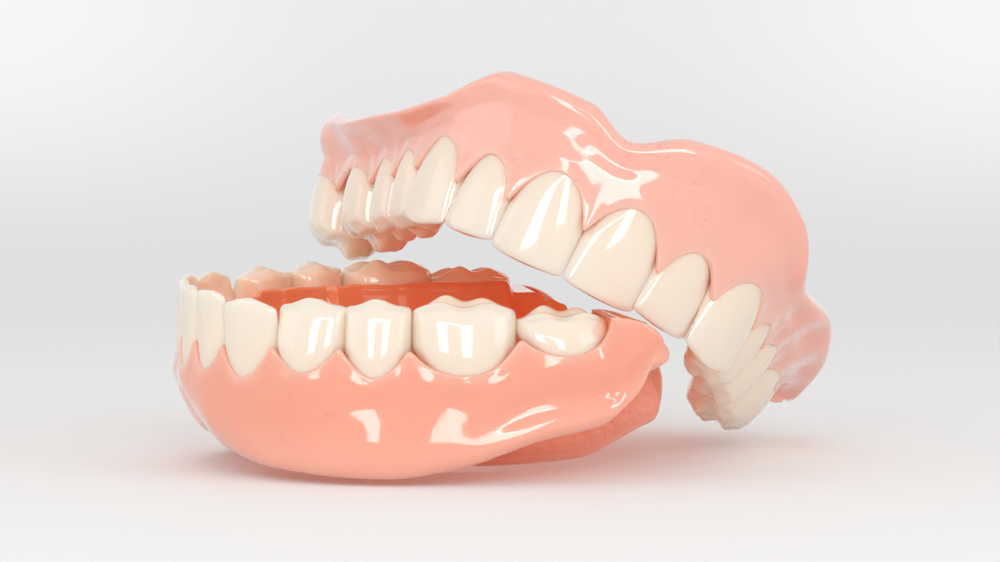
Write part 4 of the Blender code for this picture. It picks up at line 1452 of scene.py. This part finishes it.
class Studio:
    """The floor, the backdrop, the lights and the camera."""

    def __init__(self, view: View, backdrop: Backdrop, floor: Floor) -> None:
        """Work out the camera's directions.

        Args:
            view: the camera's place.
            backdrop: the backdrop's look.
            floor: the floor's size and look.
        """
        self.view, self.backdrop, self.ground = view, backdrop, floor
        self.scene = bpy.context.scene
        azimuth, elevation = math.radians(view.azimuth), math.radians(view.elevation)
        self.back = Vector((math.sin(azimuth) * math.cos(elevation),
                            -math.cos(azimuth) * math.cos(elevation), math.sin(elevation)))
        self.right = Vector((math.cos(azimuth), math.sin(azimuth), 0))
        self.middle = Vector(view.target) + SET_AT

    def hang(self, name: str, data: bpy.types.ID) -> bpy.types.Object:
        """Add an object to the scene.

        Args:
            name: its name.
            data: its mesh, lamp or camera.

        Returns:
            The object.
        """
        item = bpy.data.objects.new(name, data)
        self.scene.collection.objects.link(item)
        return item

    def camera(self) -> None:
        """Stand the camera at the photograph's viewing angle."""
        lens = bpy.data.cameras.new("photo_camera")
        lens.lens, lens.sensor_width = self.view.lens_mm, self.view.sensor_mm
        lens.clip_start = self.view.nearest
        item = self.hang("photo_camera", lens)
        basis = Matrix((self.right, self.back.cross(self.right), self.back)).transposed().to_4x4()
        item.matrix_world = Matrix.Translation(self.middle + self.back * self.view.distance) @ basis
        self.scene.camera = item

    def light(self, lamp: Lamp) -> None:
        """Hang a soft light that faces the set.

        Args:
            lamp: its place, size and power.
        """
        light = bpy.data.lights.new(lamp.name, "AREA")
        light.shape = "RECTANGLE"
        light.size, light.size_y = lamp.size
        light.energy = lamp.power
        item = self.hang(lamp.name, light)
        right, up, near = lamp.offset
        flat_back = Vector((self.back.x, self.back.y, 0)).normalized()
        item.location = self.middle + self.right * right + Vector((0, 0, up)) + flat_back * near
        item.rotation_euler = (self.middle - item.location).to_track_quat("-Z", "Y").to_euler()

    def world(self) -> None:
        """Give the room a plain soft light, and the camera a pale backdrop."""
        look = self.backdrop
        world = bpy.data.worlds.new("studio")
        self.scene.world = world
        world.use_nodes = True
        nodes = Nodes(world.node_tree)
        way = nodes.place("Generated")
        rise = nodes.ranged(nodes.add("SeparateXYZ", {0: way}).outputs["Z"], look.low, look.high)
        side = nodes.math("ABSOLUTE", nodes.vector("DOT_PRODUCT", way, self.right))
        lift = nodes.math("MULTIPLY", nodes.ranged(side, look.side_start, look.side_end), rise)
        seen = nodes.mix(lift, nodes.mix(rise, look.dark, look.pale), look.corner)
        nodes.feed(world.node_tree.nodes["Background"], {
            "Strength": 1.0, "Color": nodes.mix(nodes.seen_directly(), look.room, seen)})

    def floor(self) -> None:
        """Lay the plain pale floor, which fades into the backdrop far from the set."""
        look = self.ground
        bm = bmesh.new()
        bmesh.ops.create_grid(bm, x_segments=1, y_segments=1, size=look.half,
                              matrix=Matrix.Translation((0, 0, -look.below)))
        mesh = to_mesh("floor", bm)
        paint = bpy.data.materials.new("floor_paint")
        paint.use_nodes = True
        tree = paint.node_tree
        nodes = Nodes(tree)
        plain = nodes.feed(tree.nodes["Principled BSDF"], {
            "Base Color": look.colour, "Roughness": look.roughness,
            "Specular IOR Level": look.specular}).outputs[0]
        glow = nodes.add("Emission", {"Strength": look.lift}).outputs[0]
        lit = nodes.add("AddShader", {0: plain, 1: glow}).outputs[0]
        shown = nodes.mix_shaders(nodes.seen_directly(), plain, lit)
        far = nodes.ranged(nodes.vector("LENGTH", nodes.place("Object")), look.fade_start, look.fade_end)
        clear = nodes.add("BsdfTransparent", {}).outputs[0]
        nodes.feed(tree.nodes["Material Output"], {"Surface": nodes.mix_shaders(far, shown, clear)})
        mesh.materials.append(paint)
        self.hang("floor", mesh)

    def build(self) -> None:
        """Set up the whole studio."""
        self.camera()
        for lamp in LAMPS:
            self.light(lamp)
        self.world()
        self.floor()
        self.scene.view_settings.view_transform = "Standard"
        log.info("studio: %d lights", len(LAMPS))


def main() -> None:
    """Build the set round the frame."""
    logging.basicConfig(level=logging.INFO, format="%(name)s: %(message)s")
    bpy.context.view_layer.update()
    ivory = ToothAcrylic(IVORY_TOOTH).build()
    for form, finish in ((LOWER_FORM, LOWER_ACRYLIC_PAINTED_DEEPER), (UPPER_FORM, UPPER_ACRYLIC_PAINTED_PALER)):
        DentureBuilder(form, GumAcrylic(finish).build(), ivory).build()
    Studio(View(), Backdrop(), Floor()).build()


if __name__ == "__main__":
    main()
